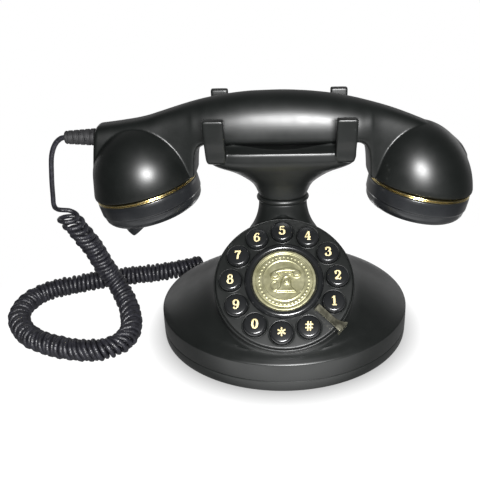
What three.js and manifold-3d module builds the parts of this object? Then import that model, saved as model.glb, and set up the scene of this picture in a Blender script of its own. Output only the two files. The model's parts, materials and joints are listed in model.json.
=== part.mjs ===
// French-style cradle telephone with a push-button dial, in millimetres.
// +Z is up, the dial faces -Y and the middle of the base, on the table, is the origin.
import * as THREE from 'three';
import { mergeVertices } from 'three/addons/utils/BufferGeometryUtils.js';
import Module from 'manifold-3d';

const wasm = await Module();
wasm.setup();

// ---- driving dimensions ----
const GAP = 0.3;
const BASE_A = 83.5;          // half width of the oval base
const BASE_B = 74.2;          // half depth of the oval base
const CREASE_Z = 18.4;        // top of the upright skirt
const STAND_Z = -2.8;         // the table, measured from the drawing's zero height
const PLATE_LOW = -1.2;
const PARTING_Z = 6.5;
const NECK_Y = 5;             // the column and the cradle stand behind the middle
const NECK_TOP = 90.7;
const HEAD_LOW = 94.9;
const DIAL_Y = -41;
const DIAL_Z = 56.5;
const DIAL_TILT = 38;         // degrees between the dial and the table
const DRUM_R = 42.2;
const PLATE_R = 41.6;
const BUTTON_PITCH_R = 32.5;
const BUTTON_R = 6.9;
const FIRST_BUTTON = -25.3;   // degrees, the button marked 1
const BUTTON_STEP = 29.19;
const PRONG_X = 38;
const PRONG_W = 12.1;
const REAR_W = 10.9;
const FRONT_SHIFT = -0.9;     // the prongs stand a little to the left
const REAR_SHIFT = -1.3;
const GRIP_WAIST_Z = 136.6;   // height at which the middle of the grip is deepest
const GRIP_LOW = 130.5;
const GRIP_HIGH = 160.9;
const GRIP_HALF_D = 16.5;
// Each cup: centre of its rim, degrees its axis leans in at the bottom, and the
// ellipsoid of its dome (centre, radius, half height, lean).
const CUPS = {
  '-1': { x: -86.8, z: 103.1, tilt: 12.85, dome: [-87, 104.5, 31.8, 37.6, 0] },
  '1': { x: 87.7, z: 102.2, tilt: 10.1, dome: [88.6, 99.4, 31, 43, -0.34] },
};
const CUP_R = 33.4;
const COIL_R = 7.7;           // outer radius of the curled cord
const WIRE_R = 1.6;

const rad = THREE.MathUtils.degToRad;
const group = new THREE.Group();
group.name = 'cradle_telephone';

// ---- materials ----
function material(color, roughness, metalness) {
  return new THREE.MeshStandardMaterial({ color, roughness, metalness });
}
const satin = material(0x1d1f1f, 0.42, 0);
const gloss = material(0x101112, 0.16, 0);
const brass = material(0xc9a85a, 0.25, 1);
const oldBrass = material(0x9c8c54, 0.45, 1);
const rubber = material(0x18181a, 0.85, 0);
const cordBlack = material(0x15151c, 0.6, 0);
const steel = material(0xa8abb0, 0.35, 1);
const board = material(0x1f5a36, 0.55, 0);
const plastic = material(0x2a2b2d, 0.5, 0);
const clear = material(0xb9bcc0, 0.2, 0);

// ---- mesh helpers ----
function v(x, y, z) {
  return new THREE.Vector3(x, y, z);
}

function flipIfInsideOut(positions, index) {
  let volume = 0;
  const p = (i) => v(positions[3 * i], positions[3 * i + 1], positions[3 * i + 2]);
  for (let i = 0; i < index.length; i += 3) {
    volume += p(index[i]).dot(p(index[i + 1]).cross(p(index[i + 2])));
  }
  if (volume >= 0) return index;
  const flipped = [];
  for (let i = 0; i < index.length; i += 3) {
    flipped.push(index[i], index[i + 2], index[i + 1]);
  }
  return flipped;
}

function geometryOf(positions, index) {
  const geometry = new THREE.BufferGeometry();
  geometry.setAttribute('position', new THREE.Float32BufferAttribute(positions, 3));
  geometry.setIndex(flipIfInsideOut(positions, index));
  return geometry;
}

// Skin over closed rings with the same number of points; the ends are capped, or
// the last ring is joined to the first when the loft closes on itself.
function loft(rings, closed = false) {
  const n = rings[0].length;
  const positions = [];
  for (const ring of rings) {
    for (const p of ring) positions.push(p.x, p.y, p.z);
  }
  const index = [];
  const spans = closed ? rings.length : rings.length - 1;
  for (let r = 0; r < spans; r++) {
    const below = r * n;
    const above = ((r + 1) % rings.length) * n;
    for (let i = 0; i < n; i++) {
      const j = (i + 1) % n;
      index.push(below + i, below + j, above + j);
      index.push(below + i, above + j, above + i);
    }
  }
  if (!closed) {
    for (const [r, turn] of [[0, false], [rings.length - 1, true]]) {
      const middle = v(0, 0, 0);
      for (const p of rings[r]) middle.add(p);
      middle.divideScalar(n);
      const hub = positions.length / 3;
      positions.push(middle.x, middle.y, middle.z);
      for (let i = 0; i < n; i++) {
        const a = r * n + i;
        const b = r * n + ((i + 1) % n);
        if (turn) index.push(hub, a, b);
        else index.push(hub, b, a);
      }
    }
  }
  return geometryOf(positions, index);
}

// Solid of revolution about Z from a closed (radius, height) outline.
function revolve(outline, segments, squash = 1) {
  const positions = [];
  const start = [];
  for (const [r, z] of outline) {
    start.push(positions.length / 3);
    if (r < 1e-6) {
      positions.push(0, 0, z);
      continue;
    }
    for (let i = 0; i < segments; i++) {
      const a = (2 * Math.PI * i) / segments;
      positions.push(r * Math.cos(a), r * squash * Math.sin(a), z);
    }
  }
  const index = [];
  for (let k = 0; k < outline.length; k++) {
    const m = (k + 1) % outline.length;
    const lowPoint = outline[k][0] < 1e-6;
    const highPoint = outline[m][0] < 1e-6;
    if (lowPoint && highPoint) continue;
    for (let i = 0; i < segments; i++) {
      const j = (i + 1) % segments;
      const a = lowPoint ? start[k] : start[k] + i;
      const b = lowPoint ? start[k] : start[k] + j;
      const c = highPoint ? start[m] : start[m] + j;
      const d = highPoint ? start[m] : start[m] + i;
      if (!lowPoint) index.push(a, b, c);
      if (!highPoint) index.push(a, c, d);
    }
  }
  return geometryOf(positions, index);
}

function box(x0, x1, y0, y1, z0, z1) {
  const geometry = new THREE.BoxGeometry(x1 - x0, y1 - y0, z1 - z0);
  geometry.translate((x0 + x1) / 2, (y0 + y1) / 2, (z0 + z1) / 2);
  return geometry;
}

function cylinder(radius, z0, z1, segments, x = 0, y = 0) {
  const geometry = revolve([[0, z0], [radius, z0], [radius, z1], [0, z1]], segments);
  geometry.translate(x, y, 0);
  return geometry;
}

function solid(geometry) {
  const bare = geometry.clone();
  bare.deleteAttribute('normal');
  bare.deleteAttribute('uv');
  const merged = mergeVertices(bare, 1e-4);
  return new wasm.Manifold(new wasm.Mesh({
    numProp: 3,
    vertProperties: new Float32Array(merged.attributes.position.array),
    triVerts: new Uint32Array(merged.index.array),
  }));
}

function geometryFrom(manifold) {
  const mesh = manifold.getMesh();
  const geometry = new THREE.BufferGeometry();
  const points = new Float32Array(mesh.vertProperties);
  geometry.setAttribute('position', new THREE.BufferAttribute(points, 3));
  geometry.setIndex(Array.from(mesh.triVerts));
  return geometry;
}

function place(name, geometry, paint, matrix) {
  const shape = geometry.clone();
  if (matrix) shape.applyMatrix4(matrix);
  shape.translate(0, 0, -STAND_Z);
  shape.deleteAttribute('uv');
  shape.computeVertexNormals();
  const mesh = new THREE.Mesh(shape, paint);
  mesh.name = name;
  group.add(mesh);
  return mesh;
}

// Value of a smooth curve through (key, value) pairs.
function curveThrough(pairs) {
  return (t) => {
    const last = pairs.length - 1;
    if (t <= pairs[0][0]) return pairs[0][1];
    if (t >= pairs[last][0]) return pairs[last][1];
    let i = 0;
    while (t > pairs[i + 1][0]) i++;
    const slope = (k) => {
      if (k === 0 || k === last) return 0;
      const before = (pairs[k][1] - pairs[k - 1][1]) / (pairs[k][0] - pairs[k - 1][0]);
      const after = (pairs[k + 1][1] - pairs[k][1]) / (pairs[k + 1][0] - pairs[k][0]);
      return before * after <= 0 ? 0 : (2 * before * after) / (before + after);
    };
    const [x0, y0] = pairs[i];
    const [x1, y1] = pairs[i + 1];
    const h = x1 - x0;
    const s = (t - x0) / h;
    const m0 = i === 0 ? (y1 - y0) / h : slope(i);
    const m1 = i + 1 === last ? (y1 - y0) / h : slope(i + 1);
    const s2 = s * s;
    const s3 = s2 * s;
    return (2 * s3 - 3 * s2 + 1) * y0 + (s3 - 2 * s2 + s) * h * m0
      + (3 * s2 - 2 * s3) * y1 + (s3 - s2) * h * m1;
  };
}

// Flat rounded-box ring in the XY plane.
function roundedRing(cx, cy, z, a, b, power, count) {
  const ring = [];
  for (let i = 0; i < count; i++) {
    const t = (2 * Math.PI * i) / count;
    const c = Math.cos(t);
    const s = Math.sin(t);
    const x = a * Math.sign(c) * Math.abs(c) ** (2 / power);
    const y = b * Math.sign(s) * Math.abs(s) ** (2 / power);
    ring.push(v(cx + x, cy + y, z));
  }
  return ring;
}

// ---- the dial's own frame: X across, Y up its face, Z out of its face ----
const tilt = rad(DIAL_TILT);
const dialFrame = new THREE.Matrix4().makeBasis(
  v(1, 0, 0),
  v(0, Math.cos(tilt), Math.sin(tilt)),
  v(0, -Math.sin(tilt), Math.cos(tilt)),
);
dialFrame.setPosition(0, DIAL_Y, DIAL_Z);

function inDial(geometry) {
  return geometry.clone().applyMatrix4(dialFrame);
}

// ---- base shell: oval dish, column and dial drum in one moulding ----
const halfWidth = curveThrough([
  [PARTING_Z, BASE_A + 0.4], [CREASE_Z, BASE_A], [20.2, 81.6], [23, 77], [27, 70],
  [32, 60.5], [38, 50], [45, 41], [53, 33.5], [61, 27.5], [69, 22.8], [75, 19.2],
  [81, 16.9], [87, 15.7], [NECK_TOP, 15.4],
]);
const halfDepth = curveThrough([
  [PARTING_Z, BASE_B + 0.4], [CREASE_Z, BASE_B], [20.2, 72.4], [23, 68], [27, 61],
  [32, 52], [38, 43], [45, 35], [53, 28], [61, 22.5], [69, 18], [75, 14.5],
  [81, 12.5], [87, 12], [NECK_TOP, 12],
]);
const middleY = curveThrough([[CREASE_Z, 0], [30, 1], [50, 4], [62, NECK_Y], [90, NECK_Y]]);

function toEllipse(px, py, dx, dy, cx, cy, a, b) {
  const ox = (px - cx) / a;
  const oy = (py - cy) / b;
  const ex = dx / a;
  const ey = dy / b;
  const A = ex * ex + ey * ey;
  const B = ox * ex + oy * ey;
  const C = ox * ox + oy * oy - 1;
  const D = B * B - A * C;
  if (D <= 0) return 0;
  return Math.max(0, (-B + Math.sqrt(D)) / A);
}

function shellRing(z, inset, count) {
  const hubY = z > 60 ? -3 : -3 * Math.max(0, (z - 20) / 40);
  const drumR = DRUM_R - inset;
  const fade = THREE.MathUtils.smoothstep(z, 18, 25);
  const drumY = DIAL_Y - ((z - DIAL_Z) * Math.sin(tilt)) / Math.cos(tilt);
  const ring = [];
  for (let i = 0; i < count; i++) {
    const t = (2 * Math.PI * i) / count;
    const dx = Math.cos(t);
    const dy = Math.sin(t);
    const body = toEllipse(0, hubY, dx, dy, 0, middleY(z), halfWidth(z) - inset,
      halfDepth(z) - inset);
    let reach = body;
    if (z < 79) {
      const drum = fade * toEllipse(0, hubY, dx, dy, 0, drumY, drumR,
        drumR / Math.cos(tilt));
      reach = (body ** 12 + drum ** 12) ** (1 / 12);
    }
    ring.push(v(reach * dx, hubY + reach * dy, z));
  }
  return ring;
}

const outerLevels = [PARTING_Z + GAP, CREASE_Z - 0.6, CREASE_Z + 0.4, 20.8, 23.6, 27.4,
  32, 37.5, 44, 51, 58, 65, 71, 76.5, 82, NECK_TOP];
const outerShell = solid(loft(outerLevels.map((z) => shellRing(z, 0, 42))));

// The hollow follows the outside 2.6 mm further in and lower down.
const WALL = 2.6;
const innerLevels = [16, 20, 25, 33, 44, 56, 67];
const innerRings = [shellRing(10, WALL, 24).map((p) => p.setZ(2))];
for (const z of innerLevels) {
  innerRings.push(shellRing(z + WALL, WALL, 24).map((p) => p.setZ(z)));
}
const hollow = solid(loft(innerRings));

const SEAT = -6.3;
let shell = outerShell
  .subtract(solid(inDial(revolve([
    [0, SEAT], [43.4, SEAT], [43.4, -0.5], [45.4, 6], [45.4, 60], [0, 60],
  ], 40))))
  .subtract(hollow)
  .subtract(solid(inDial(cylinder(38, -10.2, -5, 30))));

const SCREW_SPOTS = [[58, 26], [-58, 26], [58, -26], [-58, -26]];
const FOOT_SPOTS = [[46, 46], [-46, 46], [46, -46], [-46, -46]];
for (const [x, y] of SCREW_SPOTS) {
  shell = shell.add(solid(cylinder(4.2, 5.4, 26.5, 12, x, y)));
  shell = shell.subtract(solid(cylinder(1.9, 4, 16, 12, x, y)));
}
shell = shell.subtract(solid(cylinder(6, 64, 95, 16, 0, NECK_Y)));

const JACK_X = 24;
for (const side of [-1, 1]) {
  const x = side * JACK_X;
  shell = shell.subtract(solid(box(x - 6.6, x + 6.6, 60, 80, 4, 16.6)));
}
shell = shell.subtract(solid(box(-4.1, 4.1, 66, 80, 10, 13.6)));
place('base_shell', geometryFrom(shell), satin);

// ---- base plate, screws and feet ----
let plate = solid(loft([
  roundedRing(0, 0, PLATE_LOW, BASE_A - 1.2, BASE_B - 1.2, 2, 40),
  roundedRing(0, 0, PLATE_LOW + 0.9, BASE_A + 0.2, BASE_B + 0.2, 2, 40),
  roundedRing(0, 0, PARTING_Z - 0.5, BASE_A + 0.4, BASE_B + 0.4, 2, 40),
  roundedRing(0, 0, PARTING_Z, BASE_A - 0.1, BASE_B - 0.1, 2, 40),
]));
plate = plate.subtract(solid(loft([
  roundedRing(0, 0, 5, BASE_A - 3.2, BASE_B - 3.2, 2, 28),
  roundedRing(0, 0, 8, BASE_A - 3.2, BASE_B - 3.2, 2, 28),
])));
for (const [x, y] of SCREW_SPOTS) {
  plate = plate.subtract(solid(cylinder(4.2, -2, 3.9, 12, x, y)));
  plate = plate.subtract(solid(cylinder(2, -2, 6, 12, x, y)));
}
for (const [x, y] of FOOT_SPOTS) {
  plate = plate.subtract(solid(cylinder(6.8, -2, 0.1, 12, x, y)));
}
place('base_plate', geometryFrom(plate), satin);

SCREW_SPOTS.forEach(([x, y], i) => {
  const screw = revolve([
    [0, 1.9], [3.2, 1.9], [3.8, 2.4], [3.8, 3.6], [1.5, 3.6], [1.5, 13], [0.4, 14.5],
    [0, 14.5],
  ], 12);
  screw.translate(x, y, 0);
  const slot = box(x - 5, x + 5, y - 0.4, y + 0.4, 1, 2.7);
  place(`base_screw_${i + 1}`, geometryFrom(solid(screw).subtract(solid(slot))), steel);
});

FOOT_SPOTS.forEach(([x, y], i) => {
  const foot = revolve([[0, 0], [5.6, 0], [6.3, 0.6], [6.3, 2.6], [0, 2.6]], 12);
  foot.translate(x, y, STAND_Z);
  place(`rubber_foot_${i + 1}`, foot, rubber);
});

// ---- inside the base ----
place('ballast_weight', box(-34, 34, -8, 44, 5.3, 10.4), steel);

let mainBoard = solid(box(-32, 32, -6, 40, 13.4, 15));
for (const [x, y] of [[-28, -2], [28, -2], [-28, 36], [28, 36]]) {
  mainBoard = mainBoard.add(solid(cylinder(2.4, 10.7, 14, 10, x, y)));
}
mainBoard = mainBoard
  .add(solid(box(-26, -10, 2, 14, 14, 24)))
  .add(solid(box(12, 26, 4, 12, 14, 20)))
  .add(solid(cylinder(4, 14, 25, 12, 16, 28)))
  .add(solid(cylinder(3, 14, 22, 12, -20, 28)));
place('main_board', geometryFrom(mainBoard), board);

const ringer = revolve([
  [0, 5.3], [15, 5.3], [15, 12.6], [13.6, 14], [3, 14], [3, 12.8], [0, 12.8],
], 18);
ringer.translate(-52, 0, 0);
place('ringer', ringer, plastic);

function jack(name, x, pocketHalf) {
  let body = solid(box(x - 6.2, x + 6.2, 55, 68.9, 7, 16.2));
  body = body.add(solid(box(x - 5, x + 5, 55, 65, 5.3, 8)));
  body = body.subtract(solid(box(x - pocketHalf, x + pocketHalf, 57, 72, 8.2, 15.2)));
  place(name, geometryFrom(body), plastic);
}
jack('handset_jack', -JACK_X, 4.2);
jack('line_jack', JACK_X, 5.1);

const slider = solid(box(-3.8, -0.4, 69, 75.4, 10.4, 13.2))
  .add(solid(box(-7.2, 3, 67.2, 69.4, 9.2, 14.4)));
place('ringer_switch', geometryFrom(slider), gloss);

// ---- collar and cradle head ----
const collar = revolve([
  [6, 91], [14.7, 91], [16.1, 91.5], [16.8, 92.8], [16.1, 94.1], [14.7, 94.6], [6, 94.6],
], 28, 0.81);
collar.translate(0, NECK_Y, 0);
const collarHole = solid(cylinder(6, 88, 97, 16, 0, NECK_Y));
place('neck_collar', geometryFrom(solid(collar).subtract(collarHole)), satin);

const headLevels = [
  // height, half width, half depth, squareness
  [HEAD_LOW, 15, 12.4, 2.2], [98, 16.4, 12.6, 2.25], [101.5, 17.9, 13.2, 2.35],
  [105, 20.4, 14.2, 2.5], [108.5, 24.2, 15.8, 2.8], [112, 28.6, 17.8, 3.2],
  [115.5, 34.4, 20, 3.7], [118, 39.8, 21.8, 4.2], [120, 43.2, 22.9, 4.6],
  [122, 44.6, 23.7, 5], [124.5, 44.9, 24.2, 5.4], [127.8, 44.9, 24.2, 5.4],
  [129.4, 44.7, 23.8, 5.3], [130.4, 44.4, 21.5, 5], [132, 44.2, 18.2, 4.8],
  [136, 43, 16, 4.4],
];
let head = solid(loft(headLevels.map(([z, a, b, power]) => (
  roundedRing(0, NECK_Y, z, a, b, power, 32)
))));

// A prong leans outward and has softened edges all round.
function prong(x, width, levels, top) {
  const rings = [];
  const shape = (z, y0, y1, narrow) => {
    const half = width / 2 - narrow;
    const middle = (y0 + y1) / 2;
    const deep = (y1 - y0) / 2;
    return roundedRing(x, middle, z, half, deep, 5, 12);
  };
  for (const [z, y0, y1, narrow] of levels) rings.push(shape(z, y0, y1, narrow));
  const [, y0, y1] = levels[levels.length - 1];
  rings.push(shape(top - 0.3, y0 + 0.25, y1 - 0.25, 0.35));
  rings.push(shape(top, y0 + 0.8, y1 - 0.8, 0.9));
  return solid(loft(rings));
}
const frontProng = [
  [121.5, -13, -8, 3.6], [123.5, -18.4, -10, 0.9], [126, -19.5, -12, 0.2],
  [131, -20.6, -15, 0], [138, -22.9, -17.6, 0], [149.7, -24.6, -19.3, 0],
];
const rearProng = [
  [121.5, 18, 23, 3.6], [123.5, 20, 28.4, 0.9], [126, 22, 29.5, 0.2],
  [131, 24.8, 30.6, 0], [140, 26.4, 32, 0], [155.3, 27.3, 32.5, 0],
];
for (const side of [-1, 1]) {
  head = head.add(prong(side * PRONG_X + FRONT_SHIFT, PRONG_W, frontProng, 150.8));
  head = head.add(prong(side * PRONG_X + REAR_SHIFT, REAR_W, rearProng, 156.4));
}

// The top of the saddle dips in the middle, between the prongs.
const dip = new THREE.Shape();
const DIP_R = 157;
const DIP_HALF = 30.9;
dip.moveTo(-DIP_HALF, 160);
for (let i = -5; i <= 5; i++) {
  const x = (DIP_HALF * i) / 5;
  dip.lineTo(x, 130.7 + DIP_R - Math.sqrt(DIP_R * DIP_R - x * x));
}
dip.lineTo(DIP_HALF, 160);
const dipCut = new THREE.ExtrudeGeometry(dip, { depth: 80, bevelEnabled: false, steps: 1 });
dipCut.rotateX(Math.PI / 2);
dipCut.translate(0, 45, 0);
head = head.subtract(solid(dipCut));

// Section of the grip: high and round above its deepest level, flatter below it.
function gripSection(x, top, low, waist, deep, powerUp, powerDown, count) {
  const ring = [];
  for (let i = 0; i < count; i++) {
    const t = (2 * Math.PI * i) / count;
    const c = Math.cos(t);
    const s = Math.sin(t);
    const power = s > 0 ? powerUp : powerDown;
    const reach = s > 0 ? top - waist : waist - low;
    const z = waist + reach * Math.sign(s) * Math.abs(s) ** (2 / power);
    const y = NECK_Y + deep * Math.sign(c) * Math.abs(c) ** (2 / power);
    ring.push(v(x, y, z));
  }
  return ring;
}

// Room for the grip over the whole width of the saddle.
head = head.subtract(solid(loft([-60, 60].map((x) => gripSection(
  x, GRIP_HIGH + 0.8, GRIP_LOW - 0.8, GRIP_WAIST_Z, GRIP_HALF_D + 0.8, 2.2, 3.2, 28,
)))));

// Spigot down into the column, and the bore and pocket of the hook plunger.
head = head.add(solid(cylinder(5.6, 80, 97, 16, 0, NECK_Y)));
head = head.subtract(solid(cylinder(3.2, 70, 140, 12, 0, NECK_Y)));
head = head.subtract(solid(box(-8, 8, NECK_Y - 5, NECK_Y + 5, 124.6, 140)));
place('cradle_head', geometryFrom(head), satin);

const plunger = solid(box(-7.6, 7.6, NECK_Y - 4.6, NECK_Y + 4.6, 125, 130.1))
  .add(solid(cylinder(2.7, 60, 126, 12, 0, NECK_Y)));
place('hook_plunger', geometryFrom(plunger), gloss);

const hookSwitch = solid(box(-6, 6, 1.6, 11, 44, 57))
  .add(solid(box(-2, 2, 3.6, 7, 56, 59.6)));
place('hook_switch', geometryFrom(hookSwitch), plastic);
place('hook_board', box(-9, 9, 11.3, 12.9, 15.3, 62), board);

// ---- dial ----
const rim = revolve([
  [40.4, -6], [42.2, -6], [43, -5.2], [43, -2], [42.7, -1.5], [42.1, -1.5],
  [42.1, -3.4], [40.4, -3.4],
], 44);
place('dial_rim', rim, satin, dialFrame);

let dialPlate = solid(revolve([
  [0, -3.1], [PLATE_R, -3.1], [PLATE_R, -0.7], [PLATE_R - 0.7, 0], [0, 0],
], 44));
const KEYS = ['1', '2', '3', '4', '5', '6', '7', '8', '9', '0', 'star', 'hash'];
const keySpots = KEYS.map((key, i) => {
  const angle = rad(FIRST_BUTTON + BUTTON_STEP * i);
  return [BUTTON_PITCH_R * Math.cos(angle), BUTTON_PITCH_R * Math.sin(angle)];
});
for (const [x, y] of keySpots) {
  dialPlate = dialPlate.subtract(solid(cylinder(BUTTON_R + GAP, -5, 2, 14, x, y)));
}
place('dial_plate', geometryFrom(dialPlate), satin, dialFrame);

KEYS.forEach((key, i) => {
  const [x, y] = keySpots[i];
  const button = revolve([
    [0, -4.6], [7.6, -4.6], [7.6, -3.5], [BUTTON_R, -3.5], [BUTTON_R, 1.9],
    [5.8, 2.95], [0, 3.4],
  ], 14);
  button.translate(x, y, 0);
  place(`button_${key}`, button, gloss, dialFrame);
});

const mat = revolve([[12, -7.8], [37, -7.8], [37, -6.6], [12, -6.6]], 24);
place('keypad_mat', mat, rubber, dialFrame);
const keypad = revolve([[12, -9.7], [37, -9.7], [37, -8.1], [12, -8.1]], 24);
place('keypad_board', keypad, board, dialFrame);

const bezel = revolve([
  [19.6, 0.3], [24.2, 0.3], [23.8, 2], [22.4, 3.3], [20.6, 3.3], [19.6, 2.2],
], 32);
place('dial_bezel', bezel, gloss, dialFrame);

const medallion = revolve([
  [0, 0.3], [19.2, 0.3], [19.2, 2], [13.2, 2], [12.4, 1.5], [0, 1.5],
], 32);
place('medallion', medallion, oldBrass, dialFrame);

// Finger stop: a tapered strip over the dial, folded down outside the rim.
const STOP_ANGLE = rad(-43.5);
const STOP_EDGES = [           // distance out, right edge, left edge
  [25.9, -1.6, 2.2], [38, -1.8, 1.9], [41, -1.9, 2.4], [43.6, -2, 3.5], [45.6, -2.1, 5.2],
];
function stopBar(edges, z0, z1) {
  const corner = (r, side, z) => v(
    r * Math.cos(STOP_ANGLE) - side * Math.sin(STOP_ANGLE),
    r * Math.sin(STOP_ANGLE) + side * Math.cos(STOP_ANGLE),
    z,
  );
  return solid(loft(edges.map(([r, right, left]) => [
    corner(r, right, z0), corner(r, left, z0), corner(r, left, z1), corner(r, right, z1),
  ])));
}
const stop = stopBar(STOP_EDGES, 3.7, 4.6)
  .add(stopBar([[25.9, -1.6, 2.2], [26.9, -1.6, 2.2]], 0.3, 4.2))
  .add(stopBar([[44.7, -2.1, 4.4], [45.6, -2.1, 5.2]], -4.5, 4.2));
place('finger_stop', geometryFrom(stop), brass, dialFrame);

// ---- handset ----
function cupFrame(side) {
  const cup = CUPS[side];
  const frame = new THREE.Matrix4().makeRotationY(side * rad(cup.tilt));
  frame.setPosition(cup.x, NECK_Y, cup.z);
  return frame;
}

// Skin stretched over the rim of a cup and the part of its ellipsoid above the rim.
function cupDome(side) {
  const frame = cupFrame(side);
  const back = frame.clone().invert();
  const [x, z, radius, half, leaning] = CUPS[side].dome;
  const turn = new THREE.Matrix4().makeRotationY(leaning).setPosition(x, NECK_Y, z);
  const points = [];
  const take = (p) => points.push([p.x, p.y, p.z]);
  for (let i = 0; i < 32; i++) {
    const a = (2 * Math.PI * i) / 32;
    for (const h of [0.5, 2.4]) {
      take(v(CUP_R * Math.cos(a), CUP_R * Math.sin(a), h).applyMatrix4(frame));
    }
    for (let k = 0; k < 10; k++) {
      const b = (Math.PI / 2) * (k / 10) - 0.3;
      const p = v(radius * Math.cos(b) * Math.cos(a), radius * Math.cos(b) * Math.sin(a),
        half * Math.sin(b)).applyMatrix4(turn);
      if (p.clone().applyMatrix4(back).z > 3) take(p);
    }
  }
  take(v(0, 0, half).applyMatrix4(turn));
  return wasm.Manifold.hull(points);
}

const gripTop = curveThrough([
  [-117.5, 141.6], [-113, 142.2], [-104, 143.1], [-96.8, 143.8], [-89.3, 144.8],
  [-81.9, 146.3], [-74.4, 148.5], [-66.9, 150.8], [-59.5, 153.1], [-52.2, 155.2],
  [-44.9, 156.9], [-30.5, 159.3], [-16, 160.6], [0, GRIP_HIGH], [12.3, 160.4],
  [26.6, 159], [41, 156.5], [55.5, 152.8], [70.2, 148.1], [85.2, 142.3], [92.9, 138.9],
  [100.7, 134.9], [105, 132], [108.8, 128.9], [111.4, 126.3], [113.8, 122.8], [116, 118.8],
]);
const gripLow = curveThrough([
  [-56, 99], [-54.3, 104], [-53.6, 113], [-52.8, 120], [-51.4, 125.6], [-49.2, 129],
  [-46, 130.5], [0, 130.5], [46, 130.5], [49.2, 129], [51.4, 125.6], [52.8, 120],
  [53.6, 113], [54.3, 104], [56, 99],
]);
const gripDeep = curveThrough([
  [-118, 11], [-100, 11], [-75, 11.2], [-60, 12.4], [-45, 15], [-22, 16.3], [0, 16.5],
  [22, 16.3], [45, 15], [60, 12.4], [75, 11], [90, 10], [100, 8.6], [108, 7], [113, 5.4],
  [116, 4],
]);
const END_SLOPE = 0.164;
function gripRing(x, trim) {
  const top = gripTop(x) - trim;
  const low = gripLow(x);
  const ends = THREE.MathUtils.smoothstep(Math.abs(x), 48, 70);
  const waist = (1 - ends) * GRIP_WAIST_Z + (ends * (top + low)) / 2;
  const leanIn = END_SLOPE * THREE.MathUtils.smoothstep(-x, 92, 112);
  return gripSection(x, top, low, waist, gripDeep(x) - trim, 2.2 + ends, 3.2, 20)
    .map((p) => p.setX(p.x + leanIn * (p.z - 120)));
}
const gripStations = [-115.7, -115.2, -113.6, -105, -94, -82, -70, -60, -54.6, -53.4,
  -52.2, -50.6, -46.5, -36, -24, -12, 0, 12, 24, 36, 46.5, 50.6, 52.2, 53.4, 54.6, 61,
  70, 79, 88, 95, 101, 106, 110, 113, 115.3];
const trims = [1.9, 0.7];
const grip = solid(loft(gripStations.map((x, i) => gripRing(x, trims[i] ?? 0))));

const POCKET_R = 26;
let handset = grip;
for (const side of [-1, 1]) {
  handset = handset.add(cupDome(side));
}
for (const side of [-1, 1]) {
  const frame = cupFrame(side);
  const below = cylinder(48, -60, 0.5, 24).applyMatrix4(frame);
  const pocket = cylinder(POCKET_R, -5, 17, 24).applyMatrix4(frame);
  const spigot = revolve([[POCKET_R, -9], [28.6, -9], [28.6, 3], [POCKET_R, 3]], 24);
  handset = handset.subtract(solid(below)).subtract(solid(pocket));
  handset = handset.add(solid(spigot.applyMatrix4(frame)));
}
place('handset_body', geometryFrom(handset), satin);

const ringOutline = [
  [29.2, -1.7], [32.3, -1.7], [32.5, -1.1], [31.8, -0.8], [32.5, -0.5], [32.3, 0.2],
  [29.2, 0.2],
];
// Outer skin of a cap from the ring down to the mouth, then back up inside.
const capOutline = [
  [32, -2], [32.7, -4], [32.6, -10.2], [32, -11], [31.6, -14.4], [28.6, -17.7],
  [20, -18.9], [0, -17.8], [0, -15.8], [25.6, -15.5], [29.1, -11.5], [29.1, -2],
];
for (const [side, name] of [[-1, 'mouthpiece'], [1, 'earpiece']]) {
  const frame = cupFrame(side);
  place(`${name}_ring`, revolve(ringOutline, 32), brass, frame);
  let cap = solid(revolve(capOutline, 32));
  const holes = [[0, 0]];
  for (let i = 0; i < 6; i++) {
    holes.push([8 * Math.cos((Math.PI * i) / 3), 8 * Math.sin((Math.PI * i) / 3)]);
  }
  if (side < 0) {
    // The mouthpiece lip is a shallow rim with one pointed beak toward the front.
    const tip = Math.atan2(-17, -8.7);
    const lip = (grow, radius) => {
      const ring = [];
      for (let i = 0; i < 36; i++) {
        const a = tip + (2 * Math.PI * i) / 36;
        const away = Math.min(i, 36 - i) * ((2 * Math.PI) / 36);
        const beak = Math.max(0, 1 - away / 0.52);
        const r = radius + grow * 1.7 * beak;
        const z = grow > 0 ? -19.3 - 5.3 * beak : -16.8;
        ring.push(v(-4 + r * Math.cos(a), -5 + r * Math.sin(a), z));
      }
      return ring;
    };
    cap = cap.add(solid(loft([lip(0, 18.2), lip(1, 17.4), lip(1, 15.4), lip(0, 15.2)], true)));
  }
  for (const [x, y] of holes) {
    const shift = side < 0 ? -4 : 0;
    const forward = side < 0 ? -5 : 0;
    cap = cap.subtract(solid(cylinder(1.6, -30, -10, 6, x * 0.9 + shift, y * 0.9 + forward)));
  }
  place(`${name}_cap`, geometryFrom(cap), gloss, frame);
}
const receiver = revolve([
  [0, -13.5], [22, -13.5], [25, -12], [25, -4], [20, -3], [12, 6], [0, 6],
], 20);
place('receiver_capsule', receiver, plastic, cupFrame(1));
const microphone = revolve([[0, -14], [11, -14], [11.6, -13.2], [11.6, -5], [0, -5]], 16);
place('microphone_capsule', microphone, steel, cupFrame(-1));

// ---- strain relief and cord ----
const RELIEF_X = -114.3;
const RELIEF_Z = 133.9;
const relief = [];
relief.push([0, 0]);
const RIBS = 4;
for (let i = 0; i < RIBS; i++) {
  const x0 = (18.5 * i) / RIBS;
  const r = 5.3 - (1.3 * i) / RIBS;
  relief.push([r, x0], [r - 0.1, x0 + 3.2], [r - 0.9, x0 + 3.5], [r - 0.9, x0 + 4.4]);
}
relief.push([3.9, 18.5], [0, 18.5]);
const reliefShape = revolve(relief, 14);
reliefShape.rotateY(-Math.PI / 2);
reliefShape.translate(RELIEF_X, NECK_Y, RELIEF_Z);
place('strain_relief', reliefShape, rubber);

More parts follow.
